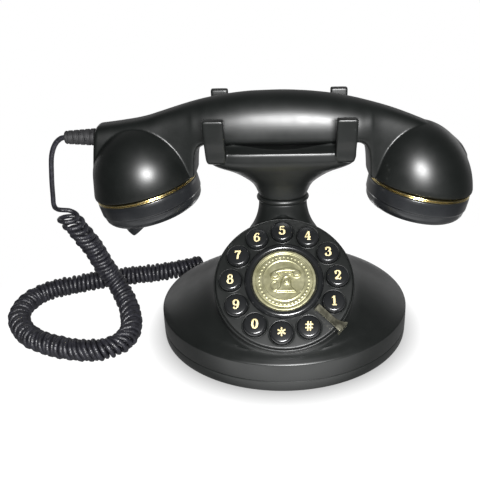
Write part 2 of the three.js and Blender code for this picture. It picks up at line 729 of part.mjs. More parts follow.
function tube(name, points, radius, sides, steps, paint) {
  const path = new THREE.CatmullRomCurve3(points.map((p) => v(...p)), false, 'centripetal');
  const section = new THREE.Shape();
  for (let i = 0; i < sides; i++) {
    const a = (2 * Math.PI * i) / sides;
    if (i === 0) section.moveTo(radius * Math.cos(a), radius * Math.sin(a));
    else section.lineTo(radius * Math.cos(a), radius * Math.sin(a));
  }
  section.closePath();
  const shape = new THREE.ExtrudeGeometry(section, { steps, extrudePath: path });
  place(name, shape, paint);
}

const LEAD = [
  [-133.4, 5, 133.9], [-135.8, 5, 133.4], [-139.8, 5, 130.2], [-143.5, 5, 123.2],
  [-146.6, 5.2, 108.5], [-148.9, 6.2, 94], [-148.6, 7.6, 86], [-147, 8.6, 81.6],
];
const COIL = [
  [-144.6, 9.6, 80.6], [-143.2, 11, 76], [-141.2, 13.2, 70.2], [-137.8, 17.5, 59.1],
  [-133.2, 20.8, 46], [-129.9, 23.2, 33], [-126, 23.8, 23.4], [-120.4, 20.6, 15.2],
  [-113.6, 11, 8.2], [-108.4, -2, 5.3], [-105.2, -17, 5], [-108, -30.6, 5],
  [-117, -37.8, 5], [-134, -38.8, 5], [-154, -33, 5], [-170, -24.4, 5],
  [-181.4, -12.4, 5], [-188.4, 1.6, 5], [-189, 16, 5], [-184, 28.4, 5],
  [-174, 36.8, 5], [-158, 43.6, 5], [-137, 51, 5], [-114, 56, 5], [-92, 61.2, 5],
  [-77, 66.6, 5], [-65, 73, 5],
];
const TAIL = [
  [-63.9, 73.7, 5.1], [-54.4, 81.5, 4.5], [-44, 90, 4.8], [-33, 93.6, 7.8],
  [-25.6, 90.6, 10.9], [-24, 87.4, 11.6], [-24, 84.7, 11.7],
];
tube('cord_lead', LEAD, WIRE_R, 8, 14, cordBlack);
tube('cord_coil', COIL, COIL_R, 8, 54, cordBlack);
tube('cord_tail', TAIL, WIRE_R, 8, 14, cordBlack);

const plug = solid(box(-JACK_X - 3.85, -JACK_X + 3.85, 58, 76, 8.5, 14.9))
  .add(solid(loft([
    roundedRing(-JACK_X, 0, 75, 3.4, 3, 3, 16),
    roundedRing(-JACK_X, 0, 84.1, 2.3, 2.3, 2, 16),
  ].map((ring) => ring.map((p) => v(p.x, p.z, 11.7 + p.y))))));
place('modular_plug', geometryFrom(plug), clear);

export default group;
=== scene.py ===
"""French-style cradle telephone with a push-button dial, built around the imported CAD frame."""
import json
import math

import bmesh
import bpy
from mathutils import Matrix, Vector


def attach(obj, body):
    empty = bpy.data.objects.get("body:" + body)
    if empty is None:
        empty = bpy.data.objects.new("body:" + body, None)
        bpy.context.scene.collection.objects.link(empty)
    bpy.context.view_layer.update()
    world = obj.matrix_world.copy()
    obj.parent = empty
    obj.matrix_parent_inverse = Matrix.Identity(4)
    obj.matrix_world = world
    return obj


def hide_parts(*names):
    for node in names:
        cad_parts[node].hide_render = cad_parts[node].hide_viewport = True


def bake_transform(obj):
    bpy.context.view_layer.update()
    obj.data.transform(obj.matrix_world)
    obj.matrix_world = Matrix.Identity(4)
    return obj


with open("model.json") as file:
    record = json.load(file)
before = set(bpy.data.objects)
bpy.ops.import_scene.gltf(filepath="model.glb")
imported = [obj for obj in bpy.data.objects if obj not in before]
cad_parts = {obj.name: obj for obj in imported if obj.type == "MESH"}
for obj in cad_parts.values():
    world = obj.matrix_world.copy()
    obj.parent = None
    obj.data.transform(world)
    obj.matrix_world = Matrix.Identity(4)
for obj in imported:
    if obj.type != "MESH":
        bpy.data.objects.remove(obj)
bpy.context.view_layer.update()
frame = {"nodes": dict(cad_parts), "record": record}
scene = bpy.context.scene
MM = 0.001

# ---- dimensions shared with the CAD model, in millimetres ----
BASE_A = 83.5
BASE_B = 74.2
CREASE_Z = 18.4
PARTING_Z = 6.5
STAND_Z = -2.8
PLATE_LOW = -1.2
NECK_Y = 5.0
NECK_TOP = 90.7
DIAL_Y = -41.0
DIAL_Z = 56.5
TILT = math.radians(38)
DRUM_R = 42.2
PLATE_R = 41.6
BUTTON_PITCH_R = 32.5
FIRST_BUTTON = -25.3
BUTTON_STEP = 29.19
PRONG_X = 38.0
BUTTON_R = 6.9
PRONG_W = 12.1
REAR_W = 10.9
FRONT_SHIFT = -0.9
REAR_SHIFT = -1.3
GRIP_WAIST_Z = 136.6
GRIP_LOW = 130.5
GRIP_HIGH = 160.9
GRIP_HALF_D = 16.5
# Per cup: rim centre, lean in degrees, ellipsoid of the dome. The ellipsoids have the CAD domes'
# tops but sit 2 to 3 mm higher on the cups, and the rims below are oval where the CAD's are round.
CUPS = {-1: (-86.8, 103.1, 12.85, (-87.0, 107.2, 31.9, 34.9, 0.0)),
        1: (87.7, 102.2, 10.1, (88.6, 101.6, 31.2, 40.9, -0.34))}
CUP_R = 33.4
CUP_DEPTH = {-1: 0.948, 1: 0.922}    # the rims are a little shallower than they are wide
JACK_X = 24.0
COIL_R = 7.7
WIRE_R = 1.6
KEYS = ["1", "2", "3", "4", "5", "6", "7", "8", "9", "0", "star", "hash"]

# ---------------------------------------------------------------- camera
CAMERA_AT = (0.0, -0.344, 0.245)
camera_data = bpy.data.cameras.new("camera")
camera_data.sensor_width = 36.0
camera_data.lens = 43.875
camera_data.shift_x = -0.0906
camera_data.clip_start = 0.01
camera_data.clip_end = 50.0
camera = bpy.data.objects.new("camera", camera_data)
scene.collection.objects.link(camera)
camera.matrix_world = (
    Matrix.Translation(CAMERA_AT)
    @ Matrix.Rotation(math.radians(90 - 27.5), 4, "X")
    @ Matrix.Rotation(math.radians(-0.87), 4, "Z")
)
scene.camera = camera


# ---------------------------------------------------------------- mesh helpers
def curve_through(pairs):
    """Value of a smooth curve through (key, value) pairs."""
    last = len(pairs) - 1

    def slope(k):
        if k == 0 or k == last:
            return 0.0
        before = (pairs[k][1] - pairs[k - 1][1]) / (pairs[k][0] - pairs[k - 1][0])
        after = (pairs[k + 1][1] - pairs[k][1]) / (pairs[k + 1][0] - pairs[k][0])
        return 0.0 if before * after <= 0 else 2 * before * after / (before + after)

    def value(t):
        if t <= pairs[0][0]:
            return pairs[0][1]
        if t >= pairs[last][0]:
            return pairs[last][1]
        i = 0
        while t > pairs[i + 1][0]:
            i += 1
        x0, y0 = pairs[i]
        x1, y1 = pairs[i + 1]
        h = x1 - x0
        s = (t - x0) / h
        m0 = (y1 - y0) / h if i == 0 else slope(i)
        m1 = (y1 - y0) / h if i + 1 == last else slope(i + 1)
        return ((2 * s**3 - 3 * s**2 + 1) * y0 + (s**3 - 2 * s**2 + s) * h * m0
                + (3 * s**2 - 2 * s**3) * y1 + (s**3 - s**2) * h * m1)

    return value


def smoothstep(t, low, high):
    s = min(1.0, max(0.0, (t - low) / (high - low)))
    return s * s * (3 - 2 * s)


def steps(low, high, count):
    return [low + (high - low) * i / (count - 1) for i in range(count)]


def loft(rings, closed=False):
    """Points and faces of a skin over rings with the same number of points."""
    n = len(rings[0])
    points = [tuple(p) for ring in rings for p in ring]
    faces = []
    for r in range(len(rings) if closed else len(rings) - 1):
        low = r * n
        high = (r + 1) % len(rings) * n
        for i in range(n):
            j = (i + 1) % n
            faces.append((low + i, low + j, high + j, high + i))
    if not closed:
        faces.append(tuple(reversed(range(n))))
        faces.append(tuple(range((len(rings) - 1) * n, len(rings) * n)))
    return points, faces


def revolve(outline, n, squash=1.0):
    """Points and faces of a solid of revolution about Z from a closed outline."""
    points = []
    faces = []
    start = []
    for r, z in outline:
        start.append(len(points))
        if r < 1e-6:
            points.append((0.0, 0.0, z))
            continue
        for i in range(n):
            a = 2 * math.pi * i / n
            points.append((r * math.cos(a), r * squash * math.sin(a), z))
    for k in range(len(outline)):
        m = (k + 1) % len(outline)
        low_pole = outline[k][0] < 1e-6
        high_pole = outline[m][0] < 1e-6
        if low_pole and high_pole:
            continue
        for i in range(n):
            j = (i + 1) % n
            if low_pole:
                faces.append((start[k], start[m] + j, start[m] + i))
            elif high_pole:
                faces.append((start[k] + i, start[k] + j, start[m]))
            else:
                faces.append((start[k] + i, start[k] + j, start[m] + j, start[m] + i))
    return points, faces


def soften(outline, radius, count=4):
    """The closed outline with its corners rounded."""
    out = []
    n = len(outline)
    for i, p in enumerate(outline):
        if p[0] < 1e-6:
            out.append(p)
            continue
        here = Vector(p)
        back = Vector(outline[i - 1]) - here
        on = Vector(outline[(i + 1) % n]) - here
        r = min(radius, 0.45 * back.length, 0.45 * on.length)
        a = here + back.normalized() * r
        b = here + on.normalized() * r
        for k in range(count + 1):
            t = k / count
            q = a * (1 - t) ** 2 + here * (2 * t * (1 - t)) + b * t * t
            out.append((q.x, q.y))
    return out


def superellipse(cx, cy, z, a, b, power, count):
    ring = []
    for i in range(count):
        t = 2 * math.pi * i / count
        c = math.cos(t)
        s = math.sin(t)
        ring.append((cx + a * math.copysign(abs(c) ** (2 / power), c),
                     cy + b * math.copysign(abs(s) ** (2 / power), s), z))
    return ring


def block(x0, x1, y0, y1, z0, z1):
    points = [(x, y, z) for z in (z0, z1) for y in (y0, y1) for x in (x0, x1)]
    faces = [(0, 2, 3, 1), (4, 5, 7, 6), (0, 1, 5, 4), (2, 6, 7, 3), (0, 4, 6, 2), (1, 3, 7, 5)]
    return points, faces


def barrel(radius, z0, z1, n, x=0.0, y=0.0):
    points, faces = revolve([(0, z0), (radius, z0), (radius, z1), (0, z1)], n)
    return [(px + x, py + y, pz) for px, py, pz in points], faces


def joined(*shapes):
    points = []
    faces = []
    for shape_points, shape_faces in shapes:
        base = len(points)
        points.extend(shape_points)
        faces.extend(tuple(i + base for i in face) for face in shape_faces)
    return points, faces


def moved(shape, matrix):
    return [tuple(matrix @ Vector(p)) for p in shape[0]], shape[1]


def build(name, shape, matrix=None):
    """A new object from points in millimetres."""
    points, faces = shape if matrix is None else moved(shape, matrix)
    mesh = bpy.data.meshes.new(name)
    mesh.from_pydata([(x * MM, y * MM, z * MM) for x, y, z in points], [], faces)
    mesh.validate()
    bm = bmesh.new()
    bm.from_mesh(mesh)
    bmesh.ops.recalc_face_normals(bm, faces=bm.faces)
    bm.to_mesh(mesh)
    bm.free()
    made = bpy.data.objects.new(name, mesh)
    scene.collection.objects.link(made)
    return made


def settle(obj):
    """Applies the object's modifiers."""
    graph = bpy.context.evaluated_depsgraph_get()
    graph.update()
    mesh = bpy.data.meshes.new_from_object(obj.evaluated_get(graph))
    obj.modifiers.clear()
    old = obj.data
    obj.data = mesh
    bpy.data.meshes.remove(old)
    mesh.name = obj.name
    return obj


def combine(obj, shape, operation, matrix=None, overlapping=False):
    """Boolean of the object with another shape."""
    tool = build("tool", shape, matrix)
    cut = obj.modifiers.new("cut", "BOOLEAN")
    cut.operation = operation
    cut.object = tool
    cut.solver = "EXACT"
    cut.use_self = overlapping
    settle(obj)
    bpy.data.objects.remove(tool)
    return obj


def gather(obj, others):
    """Moves the meshes of the other objects into this one."""
    bm = bmesh.new()
    for part in [obj] + others:
        bm.from_mesh(part.data)
    bm.to_mesh(obj.data)
    bm.free()
    for part in others:
        bpy.data.objects.remove(part)
    return obj


def melt(obj, voxel, rounds):
    """Fuses overlapping shells into one skin and softens its corners; lengths in mm."""
    skin = obj.modifiers.new("skin", "REMESH")
    skin.mode = "VOXEL"
    skin.voxel_size = voxel * MM
    relax = obj.modifiers.new("relax", "SMOOTH")
    relax.factor = 0.5
    relax.iterations = rounds
    return settle(obj)


def round_edges(obj, width, segments):
    """Bevel of the sharp edges, width in mm, left as a modifier."""
    bevel = obj.modifiers.new("edge", "BEVEL")
    bevel.width = width * MM
    bevel.segments = segments
    bevel.limit_method = "ANGLE"


def shade(obj, degrees=32.0):
    """Smooth shading, with edges sharper than the angle left crisp."""
    bm = bmesh.new()
    bm.from_mesh(obj.data)
    limit = math.radians(degrees)
    for face in bm.faces:
        face.smooth = True
    for edge in bm.edges:
        edge.smooth = len(edge.link_faces) == 2 and edge.calc_face_angle(0.0) < limit
    bm.to_mesh(obj.data)
    bm.free()
    return obj


# ---------------------------------------------------------------- materials
def graph_of(material):
    return material.node_tree.nodes, material.node_tree.links


def noise(nodes, links, scale, detail=3.0):
    """Noise over the object's own coordinates, in metres; scale is in cycles per metre."""
    coords = nodes.new("ShaderNodeTexCoord")
    texture = nodes.new("ShaderNodeTexNoise")
    texture.inputs["Scale"].default_value = scale
    texture.inputs["Detail"].default_value = detail
    texture.inputs["Roughness"].default_value = 0.55
    links.new(coords.outputs["Object"], texture.inputs["Vector"])
    return texture.outputs["Fac"]


def spread(nodes, links, value, low, high, source=(0.3, 0.7)):
    remap = nodes.new("ShaderNodeMapRange")
    remap.inputs["From Min"].default_value = source[0]
    remap.inputs["From Max"].default_value = source[1]
    remap.inputs["To Min"].default_value = low
    remap.inputs["To Max"].default_value = high
    links.new(value, remap.inputs["Value"])
    return remap.outputs["Result"]


def finish_material(name, dark, light, rough, metal=0.0, grain=900.0, bump=0.25,
                    height=0.00003, patch=35.0, wear=None, specular=0.5, coat=0.0,
                    coat_rough=0.1):
    """Moulded, painted or metal finish: colour patches, uneven gloss, fine grain, edge wear."""
    material = bpy.data.materials.new(name)
    material.use_nodes = True
    nodes, links = graph_of(material)
    shader = nodes["Principled BSDF"]
    shader.inputs["Metallic"].default_value = metal
    shader.inputs["Specular IOR Level"].default_value = specular
    shader.inputs["Coat Weight"].default_value = coat
    shader.inputs["Coat Roughness"].default_value = coat_rough
    patches = noise(nodes, links, patch, 4.0)
    ramp = nodes.new("ShaderNodeValToRGB")
    ramp.color_ramp.elements[0].position = 0.3
    ramp.color_ramp.elements[0].color = (*dark, 1)
    ramp.color_ramp.elements[1].position = 0.72
    ramp.color_ramp.elements[1].color = (*light, 1)
    links.new(patches, ramp.inputs["Fac"])
    colour = ramp.outputs["Color"]
    if wear:
        geometry = nodes.new("ShaderNodeNewGeometry")
        edge = spread(nodes, links, geometry.outputs["Pointiness"], 0.0, 1.0, (0.53, 0.62))
        mix = nodes.new("ShaderNodeMix")
        mix.data_type = "RGBA"
        mix.inputs["B"].default_value = (*wear, 1)
        links.new(edge, mix.inputs["Factor"])
        links.new(colour, mix.inputs["A"])
        colour = mix.outputs["Result"]
    links.new(colour, shader.inputs["Base Color"])
    smudges = noise(nodes, links, patch * 2.7, 5.0)
    links.new(spread(nodes, links, smudges, rough[0], rough[1]), shader.inputs["Roughness"])
    fine = noise(nodes, links, grain, 2.0)
    relief = nodes.new("ShaderNodeBump")
    relief.inputs["Strength"].default_value = bump
    relief.inputs["Distance"].default_value = height
    links.new(fine, relief.inputs["Height"])
    links.new(relief.outputs["Normal"], shader.inputs["Normal"])
    return material


satin = finish_material("satin_black", (0.0031, 0.0038, 0.0035), (0.0055, 0.0064, 0.006),
                        (0.355, 0.42), grain=1500, bump=0.16, wear=(0.015, 0.0165, 0.016))
gloss = finish_material("gloss_black", (0.006, 0.0065, 0.007), (0.011, 0.0115, 0.012),
                        (0.2, 0.28), grain=700, bump=0.06, coat=0.2, coat_rough=0.14)
cap_gloss = finish_material("cap_black", (0.007, 0.0075, 0.0085), (0.012, 0.013, 0.0145),
                            (0.27, 0.35), grain=700, bump=0.06, coat=0.35, coat_rough=0.12)
brass = finish_material("polished_brass", (0.62, 0.5, 0.22), (0.86, 0.74, 0.42),
                        (0.16, 0.26), metal=1.0, grain=1200, bump=0.08, patch=90)
old_brass = finish_material("aged_brass", (0.25, 0.24, 0.13), (0.44, 0.425, 0.27),
                            (0.3, 0.44), metal=0.75, grain=1600, bump=0.3, patch=130,
                            wear=(0.8, 0.77, 0.55))
stop_brass = finish_material("stop_brass", (0.46, 0.43, 0.23), (0.64, 0.6, 0.36),
                             (0.2, 0.3), metal=1.0, grain=1300, bump=0.15, patch=120,
                             wear=(0.85, 0.82, 0.62))
print_gold = finish_material("gold_print", (0.47, 0.38, 0.17), (0.68, 0.58, 0.34),
                             (0.42, 0.6), metal=0.0, grain=2500, bump=0.2, patch=400)
rubber = finish_material("black_rubber", (0.012, 0.012, 0.013), (0.022, 0.022, 0.023),
                         (0.5, 0.68), grain=2200, bump=0.35)
steel = finish_material("zinc_steel", (0.42, 0.43, 0.44), (0.62, 0.63, 0.65),
                        (0.25, 0.42), metal=1.0, grain=1500, bump=0.2, patch=120)
board = finish_material("circuit_board", (0.015, 0.11, 0.04), (0.03, 0.2, 0.08),
                        (0.3, 0.5), grain=900, bump=0.2, patch=200, coat=0.4)
plastic = finish_material("grey_plastic", (0.03, 0.03, 0.033), (0.05, 0.05, 0.054),
                          (0.4, 0.55), grain=1800, bump=0.3)
clear = finish_material("clear_plastic", (0.55, 0.57, 0.6), (0.7, 0.72, 0.75),
                        (0.08, 0.2), grain=900, bump=0.08)
clear.node_tree.nodes["Principled BSDF"].inputs["Transmission Weight"].default_value = 0.75


def braid(name):
    """Sheath of the cord: fine raised cells under a satin skin."""
    material = bpy.data.materials.new(name)
    material.use_nodes = True
    nodes, links = graph_of(material)
    shader = nodes["Principled BSDF"]
    patches = noise(nodes, links, 300, 3.0)
    ramp = nodes.new("ShaderNodeValToRGB")
    ramp.color_ramp.elements[0].position = 0.32
    ramp.color_ramp.elements[0].color = (0.006, 0.006, 0.008, 1)
    ramp.color_ramp.elements[1].position = 0.7
    ramp.color_ramp.elements[1].color = (0.02, 0.02, 0.026, 1)
    links.new(patches, ramp.inputs["Fac"])
    links.new(ramp.outputs["Color"], shader.inputs["Base Color"])
    links.new(spread(nodes, links, noise(nodes, links, 700), 0.3, 0.5),
              shader.inputs["Roughness"])
    coords = nodes.new("ShaderNodeTexCoord")
    cells = nodes.new("ShaderNodeTexVoronoi")
    cells.inputs["Scale"].default_value = 1300
    links.new(coords.outputs["Object"], cells.inputs["Vector"])
    relief = nodes.new("ShaderNodeBump")
    relief.inputs["Strength"].default_value = 0.55
    relief.inputs["Distance"].default_value = 0.0003
    links.new(cells.outputs["Distance"], relief.inputs["Height"])
    links.new(relief.outputs["Normal"], shader.inputs["Normal"])
    return material


sheath = braid("cord_sheath")


def dress(obj, body, slot, material, *nodes):
    """Stands a finished piece on the table, gives it its material, hangs it from its body and hides its
    CAD nodes; slot is not used.
    """
    obj.data.transform(Matrix.Translation((0, 0, -STAND_Z * MM)))
    obj.data.materials.clear()
    obj.data.materials.append(material)
    if body:
        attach(obj, body)
    if nodes:
        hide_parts(*nodes)
    return obj


# ---------------------------------------------------------------- cord
LEAD = [(-133.4, 5, 133.9), (-135.8, 5, 133.4), (-139.8, 5, 130.2), (-143.5, 5, 123.2),
        (-146.6, 5.2, 108.5), (-148.9, 6.2, 94), (-149.8, 7, 88)]
COIL = [(-144.6, 9.6, 80.6), (-143.2, 11, 76), (-141.2, 13.2, 70.2), (-137.8, 17.5, 59.1),
        (-133.2, 20.8, 46), (-129.9, 23.2, 33), (-126, 23.8, 23.4), (-120.4, 20.6, 15.2),
        (-113.6, 11, 8.2), (-108.4, -2, 5.3), (-105.2, -17, 5), (-108, -30.6, 5),
        (-117, -37.8, 5), (-134, -38.8, 5), (-154, -33, 5), (-170, -24.4, 5),
        (-181.4, -12.4, 5), (-188.4, 1.6, 5), (-189, 16, 5), (-184, 28.4, 5),
        (-174, 36.8, 5), (-158, 43.6, 5), (-137, 51, 5), (-114, 56, 5), (-92, 61.2, 5),
        (-77, 66.6, 5), (-65, 73, 5)]
TAIL = [(-54.4, 81.5, 4.5), (-44, 90, 4.8), (-33, 93.6, 7.8), (-25.6, 90.6, 10.9),
        (-24, 87.4, 11.6), (-24, 84.7, 11.7)]
TURN_POINTS = 16
TURN_PITCH = 3.15
OPEN_PITCH = 6.4


def route(points, spacing):
    """Evenly spaced points on a centripetal Catmull-Rom curve."""
    p = [Vector(q) for q in points]
    p.insert(0, p[0] * 2 - p[1])
    p.append(p[-1] * 2 - p[-2])
    fine = []
    for i in range(1, len(p) - 2):
        knots = [0.0]
        for a, b in ((p[i - 1], p[i]), (p[i], p[i + 1]), (p[i + 1], p[i + 2])):
            knots.append(knots[-1] + max(1e-6, (b - a).length) ** 0.5)
        t0, t1, t2, t3 = knots
        for k in range(40):
            t = t1 + (t2 - t1) * k / 40
            a1 = p[i - 1] * ((t1 - t) / (t1 - t0)) + p[i] * ((t - t0) / (t1 - t0))
            a2 = p[i] * ((t2 - t) / (t2 - t1)) + p[i + 1] * ((t - t1) / (t2 - t1))
            a3 = p[i + 1] * ((t3 - t) / (t3 - t2)) + p[i + 2] * ((t - t2) / (t3 - t2))
            b1 = a1 * ((t2 - t) / (t2 - t0)) + a2 * ((t - t0) / (t2 - t0))
            b2 = a2 * ((t3 - t) / (t3 - t1)) + a3 * ((t - t1) / (t3 - t1))
            fine.append(b1 * ((t2 - t) / (t2 - t1)) + b2 * ((t - t1) / (t2 - t1)))
    fine.append(p[-2])
    even = [fine[0]]
    walked = 0.0
    wanted = spacing
    for a, b in zip(fine, fine[1:]):
        step = (b - a).length
        while step > 0 and walked + step >= wanted:
            even.append(a.lerp(b, (wanted - walked) / step))
            wanted += spacing
        walked += step
    if (even[-1] - fine[-1]).length > 0.4 * spacing:
        even.append(fine[-1])
    else:
        even[-1] = fine[-1]
    return even


def helix(axis, radius):
    """Points of a coil round the axis line: open turns at its start, then tight ones.

    The turns bunch in pairs and lean, more in some stretches than in others.
    """
    wound = []
    turn = 0.4
    walked = 0.0
    for i, here in enumerate(axis):
        ahead = (axis[min(i + 1, len(axis) - 1)] - axis[max(i - 1, 0)]).normalized()
        side = Vector((0, -0.76, 0.65))
        side = (side - ahead * side.dot(ahead)).normalized()
        up = ahead.cross(side)
        if i:
            walked += (here - axis[i - 1]).length
            pitch = OPEN_PITCH + (TURN_PITCH - OPEN_PITCH) * smoothstep(walked, 4, 30)
            turn += (here - axis[i - 1]).length / pitch
        a = 2 * math.pi * turn
        bunch = 0.5 - 0.5 * math.cos(math.pi * turn)
        uneven = math.sin(0.37 * walked) * math.sin(0.113 * walked + 1.2)
        r = radius * (1 - 0.13 * bunch + 0.035 * uneven)
        lean = LEAN_OF(walked) + 0.12 * math.sin(0.21 * walked)
        slip = lean * r * math.sin(a)
        wound.append(here + (side * math.cos(a) + up * math.sin(a)) * r + ahead * slip)
    return wound


LEAN_OF = curve_through([(0, -0.75), (18, -0.55), (45, -0.2), (80, 0.1), (112, 0.5), (150, 0.35),
                         (185, 0.1), (240, 0.0), (300, -0.15), (420, 0.1)])


coil_axis = route(COIL, TURN_PITCH / TURN_POINTS)
wound = helix(coil_axis, COIL_R - WIRE_R - 0.05)[:-13]
lead_in = route(LEAD + [tuple(wound[0]), tuple(wound[5])], 0.8)
lead_in = [p for p in lead_in if (p - wound[5]).length > 2.2]
lead_out = route([tuple(wound[-4]), tuple(wound[-1])] + TAIL, 0.8)
lead_out = [p for p in lead_out if (p - wound[-4]).length > 2.2]
wire_line = lead_in + wound[5:-3] + lead_out
cord_curve = bpy.data.curves.new("handset_cord", "CURVE")
cord_curve.dimensions = "3D"
spline = cord_curve.splines.new("POLY")
spline.points.add(len(wire_line) - 1)
for point, here in zip(spline.points, wire_line):
    point.co = (here.x * MM, here.y * MM, here.z * MM, 1)
cord_curve.bevel_depth = WIRE_R * MM
cord_curve.bevel_resolution = 2
cord_curve.use_fill_caps = True
bevelled = bpy.data.objects.new("cord_line", cord_curve)
scene.collection.objects.link(bevelled)
graph = bpy.context.evaluated_depsgraph_get()
graph.update()
cord_mesh = bpy.data.meshes.new_from_object(bevelled.evaluated_get(graph))
bpy.data.objects.remove(bevelled)
handset_cord = bpy.data.objects.new("handset_cord", cord_mesh)
scene.collection.objects.link(handset_cord)
shade(handset_cord, 60)
dress(handset_cord, None, "cord_sheath", sheath, "cord_lead", "cord_coil", "cord_tail")
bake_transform(handset_cord)

plug_body = build("plug", joined(
    block(-JACK_X - 3.85, -JACK_X + 3.85, 58, 75.6, 8.5, 14.9),
    loft([[(-JACK_X + x, y, 11.7 + z) for x, z, _ in superellipse(0, 0, 0, a, b, 3, 24)]
          for y, a, b in ((75, 3.4, 3.0), (79, 3.0, 2.7), (84.2, 2.3, 2.3))]),
))
round_edges(plug_body, 0.35, 2)
settle(plug_body)
shade(plug_body)
dress(plug_body, "phone", "clear_plastic", clear, "modular_plug")

# Strain relief: ribs with notches that alternate from one rib to the next.
RELIEF_X = -114.3
RELIEF_Z = 133.9
outline = [(0, 0)]
RIBS = 5
for i in range(RIBS):
    x0 = 17.6 * i / RIBS
    r = 5.3 - 1.25 * i / RIBS
    outline += [(r, x0), (r - 0.1, x0 + 2.35), (r - 0.95, x0 + 2.55), (r - 0.95, x0 + 3.4)]
outline += [(4.15, 17.6), (3.7, 18.5), (2.2, 18.6), (0, 18.6)]
relief_frame = Matrix.Translation((RELIEF_X, NECK_Y, RELIEF_Z)) @ Matrix.Rotation(
    -math.pi / 2, 4, "Y")
strain_relief = build("relief_sleeve", revolve(soften(outline, 0.25, 3), 48), relief_frame)
notches = []
for i in range(RIBS):
    x0 = 17.6 * i / RIBS + 0.5
    for k in range(4):
        a = math.pi / 2 * (k + 0.5 * (i % 2)) + math.pi / 4
        spot = Matrix.Rotation(a, 4, "Z")
        notches.append(moved(block(3.3, 7, -1.0, 1.0, x0 + 0.1, x0 + 1.6), relief_frame @ spot))
combine(strain_relief, joined(*notches), "DIFFERENCE")
shade(strain_relief)
dress(strain_relief, "handset", "black_rubber", rubber, "strain_relief")

# ---------------------------------------------------------------- base
half_width = curve_through([
    (PARTING_Z, BASE_A + 0.4), (CREASE_Z, BASE_A), (20.2, 81.6), (23, 77), (27, 70),
    (32, 60.5), (38, 50), (45, 41), (53, 33.5), (61, 27.5), (69, 22.8), (75, 19.2),
    (81, 16.9), (87, 15.7), (NECK_TOP, 15.4)])
half_depth = curve_through([
    (PARTING_Z, BASE_B + 0.4), (CREASE_Z, BASE_B), (20.2, 72.4), (23, 68), (27, 61),
    (32, 52), (38, 43), (45, 35), (53, 28), (61, 22.5), (69, 18), (75, 14.5),
    (81, 12.5), (87, 12), (NECK_TOP, 12)])
middle_y = curve_through([(CREASE_Z, 0), (30, 1), (50, 4), (62, NECK_Y), (90, NECK_Y)])


def to_ellipse(px, py, dx, dy, cx, cy, a, b):
    """How far along (dx, dy) the ellipse lies from the point."""
    ox, oy, ex, ey = (px - cx) / a, (py - cy) / b, dx / a, dy / b
    k = ex * ex + ey * ey
    m = ox * ex + oy * ey
    d = m * m - k * (ox * ox + oy * oy - 1)
    return 0.0 if d <= 0 else max(0.0, (-m + math.sqrt(d)) / k)


def shell_ring(z, inset, count, level=None):
    hub = -3.0 if z > 60 else -3.0 * max(0.0, (z - 20) / 40)
    drum_r = DRUM_R - inset
    fade = smoothstep(z, 18, 25)
    drum_y = DIAL_Y - (z - DIAL_Z) * math.tan(TILT)
    keep = 1.0 - smoothstep(z, 76, 79)
    ring = []
    for i in range(count):
        t = 2 * math.pi * i / count
        dx, dy = math.cos(t), math.sin(t)
        reach = to_ellipse(0, hub, dx, dy, 0, middle_y(z), half_width(z) - inset,
                           half_depth(z) - inset)
        if keep > 0:
            drum = fade * to_ellipse(0, hub, dx, dy, 0, drum_y, drum_r, drum_r / math.cos(TILT))
            fused = (reach ** 12 + drum ** 12) ** (1 / 12)
            reach += (fused - reach) * keep
        ring.append((reach * dx, hub + reach * dy, z if level is None else level))
    return ring


dial_frame = Matrix.Translation((0, DIAL_Y, DIAL_Z)) @ Matrix.Rotation(TILT, 4, "X")

skin_levels = [(PARTING_Z + 0.3, 0.35), (PARTING_Z + 0.6, 0.05)]
skin_levels += [(z, 0) for z in steps(8, 17.6, 5) + steps(17.9, 21.2, 12)]
skin_levels += [(z, 0) for z in steps(21.8, 40, 30) + steps(40.8, NECK_TOP - 0.5, 50)]
skin_levels += [(NECK_TOP - 0.15, 0.12), (NECK_TOP, 0.45)]
shell = build("base_dish", loft([shell_ring(z, inset, 200) for z, inset in skin_levels]))
combine(shell, revolve([(0, -10.2), (38, -10.2), (38, -6.3), (43.4, -6.3), (43.4, -0.5), (45.4, 6),
                (45.4, 60), (0, 60)],
                       128), "DIFFERENCE", dial_frame)
WALL = 2.6
hollow = [shell_ring(10, WALL, 48, 2)]
hollow += [shell_ring(z + WALL, WALL, 48, z) for z in (16, 20, 25, 33, 44, 56, 67)]
combine(shell, loft(hollow), "DIFFERENCE")
sockets = [block(s * JACK_X - 6.6, s * JACK_X + 6.6, 60, 80, 4, 16.6) for s in (-1, 1)]
combine(shell, joined(*sockets, block(-4.1, 4.1, 66, 80, 10, 13.6),
                      barrel(6, 64, 95, 32, 0, NECK_Y)), "DIFFERENCE")
shade(shell, 28)
dress(shell, "phone", "satin_black", satin, "base_shell")

plate = build("base_ring", loft([
    superellipse(0, 0, z, BASE_A + d, BASE_B + d, 2, 160) for z, d in (
        (PLATE_LOW, -1.6), (PLATE_LOW + 0.12, -1.1), (PLATE_LOW + 0.8, 0.1), (PLATE_LOW + 1.2, 0.32),
        (1.4, 0.4), (PARTING_Z - 0.6, 0.4), (PARTING_Z - 0.3, 0.3), (PARTING_Z, -0.1))]))
SCREWS = [(58, 26), (-58, 26), (58, -26), (-58, -26)]
FEET = [(46, 46), (-46, 46), (46, -46), (-46, -46)]
wells = [barrel(4.2, -2, 3.9, 32, x, y) for x, y in SCREWS]
wells += [barrel(6.8, -2, 0.1, 40, x, y) for x, y in FEET]
combine(plate, joined(*wells), "DIFFERENCE")
shade(plate, 28)
dress(plate, "phone", "satin_black", satin, "base_plate")

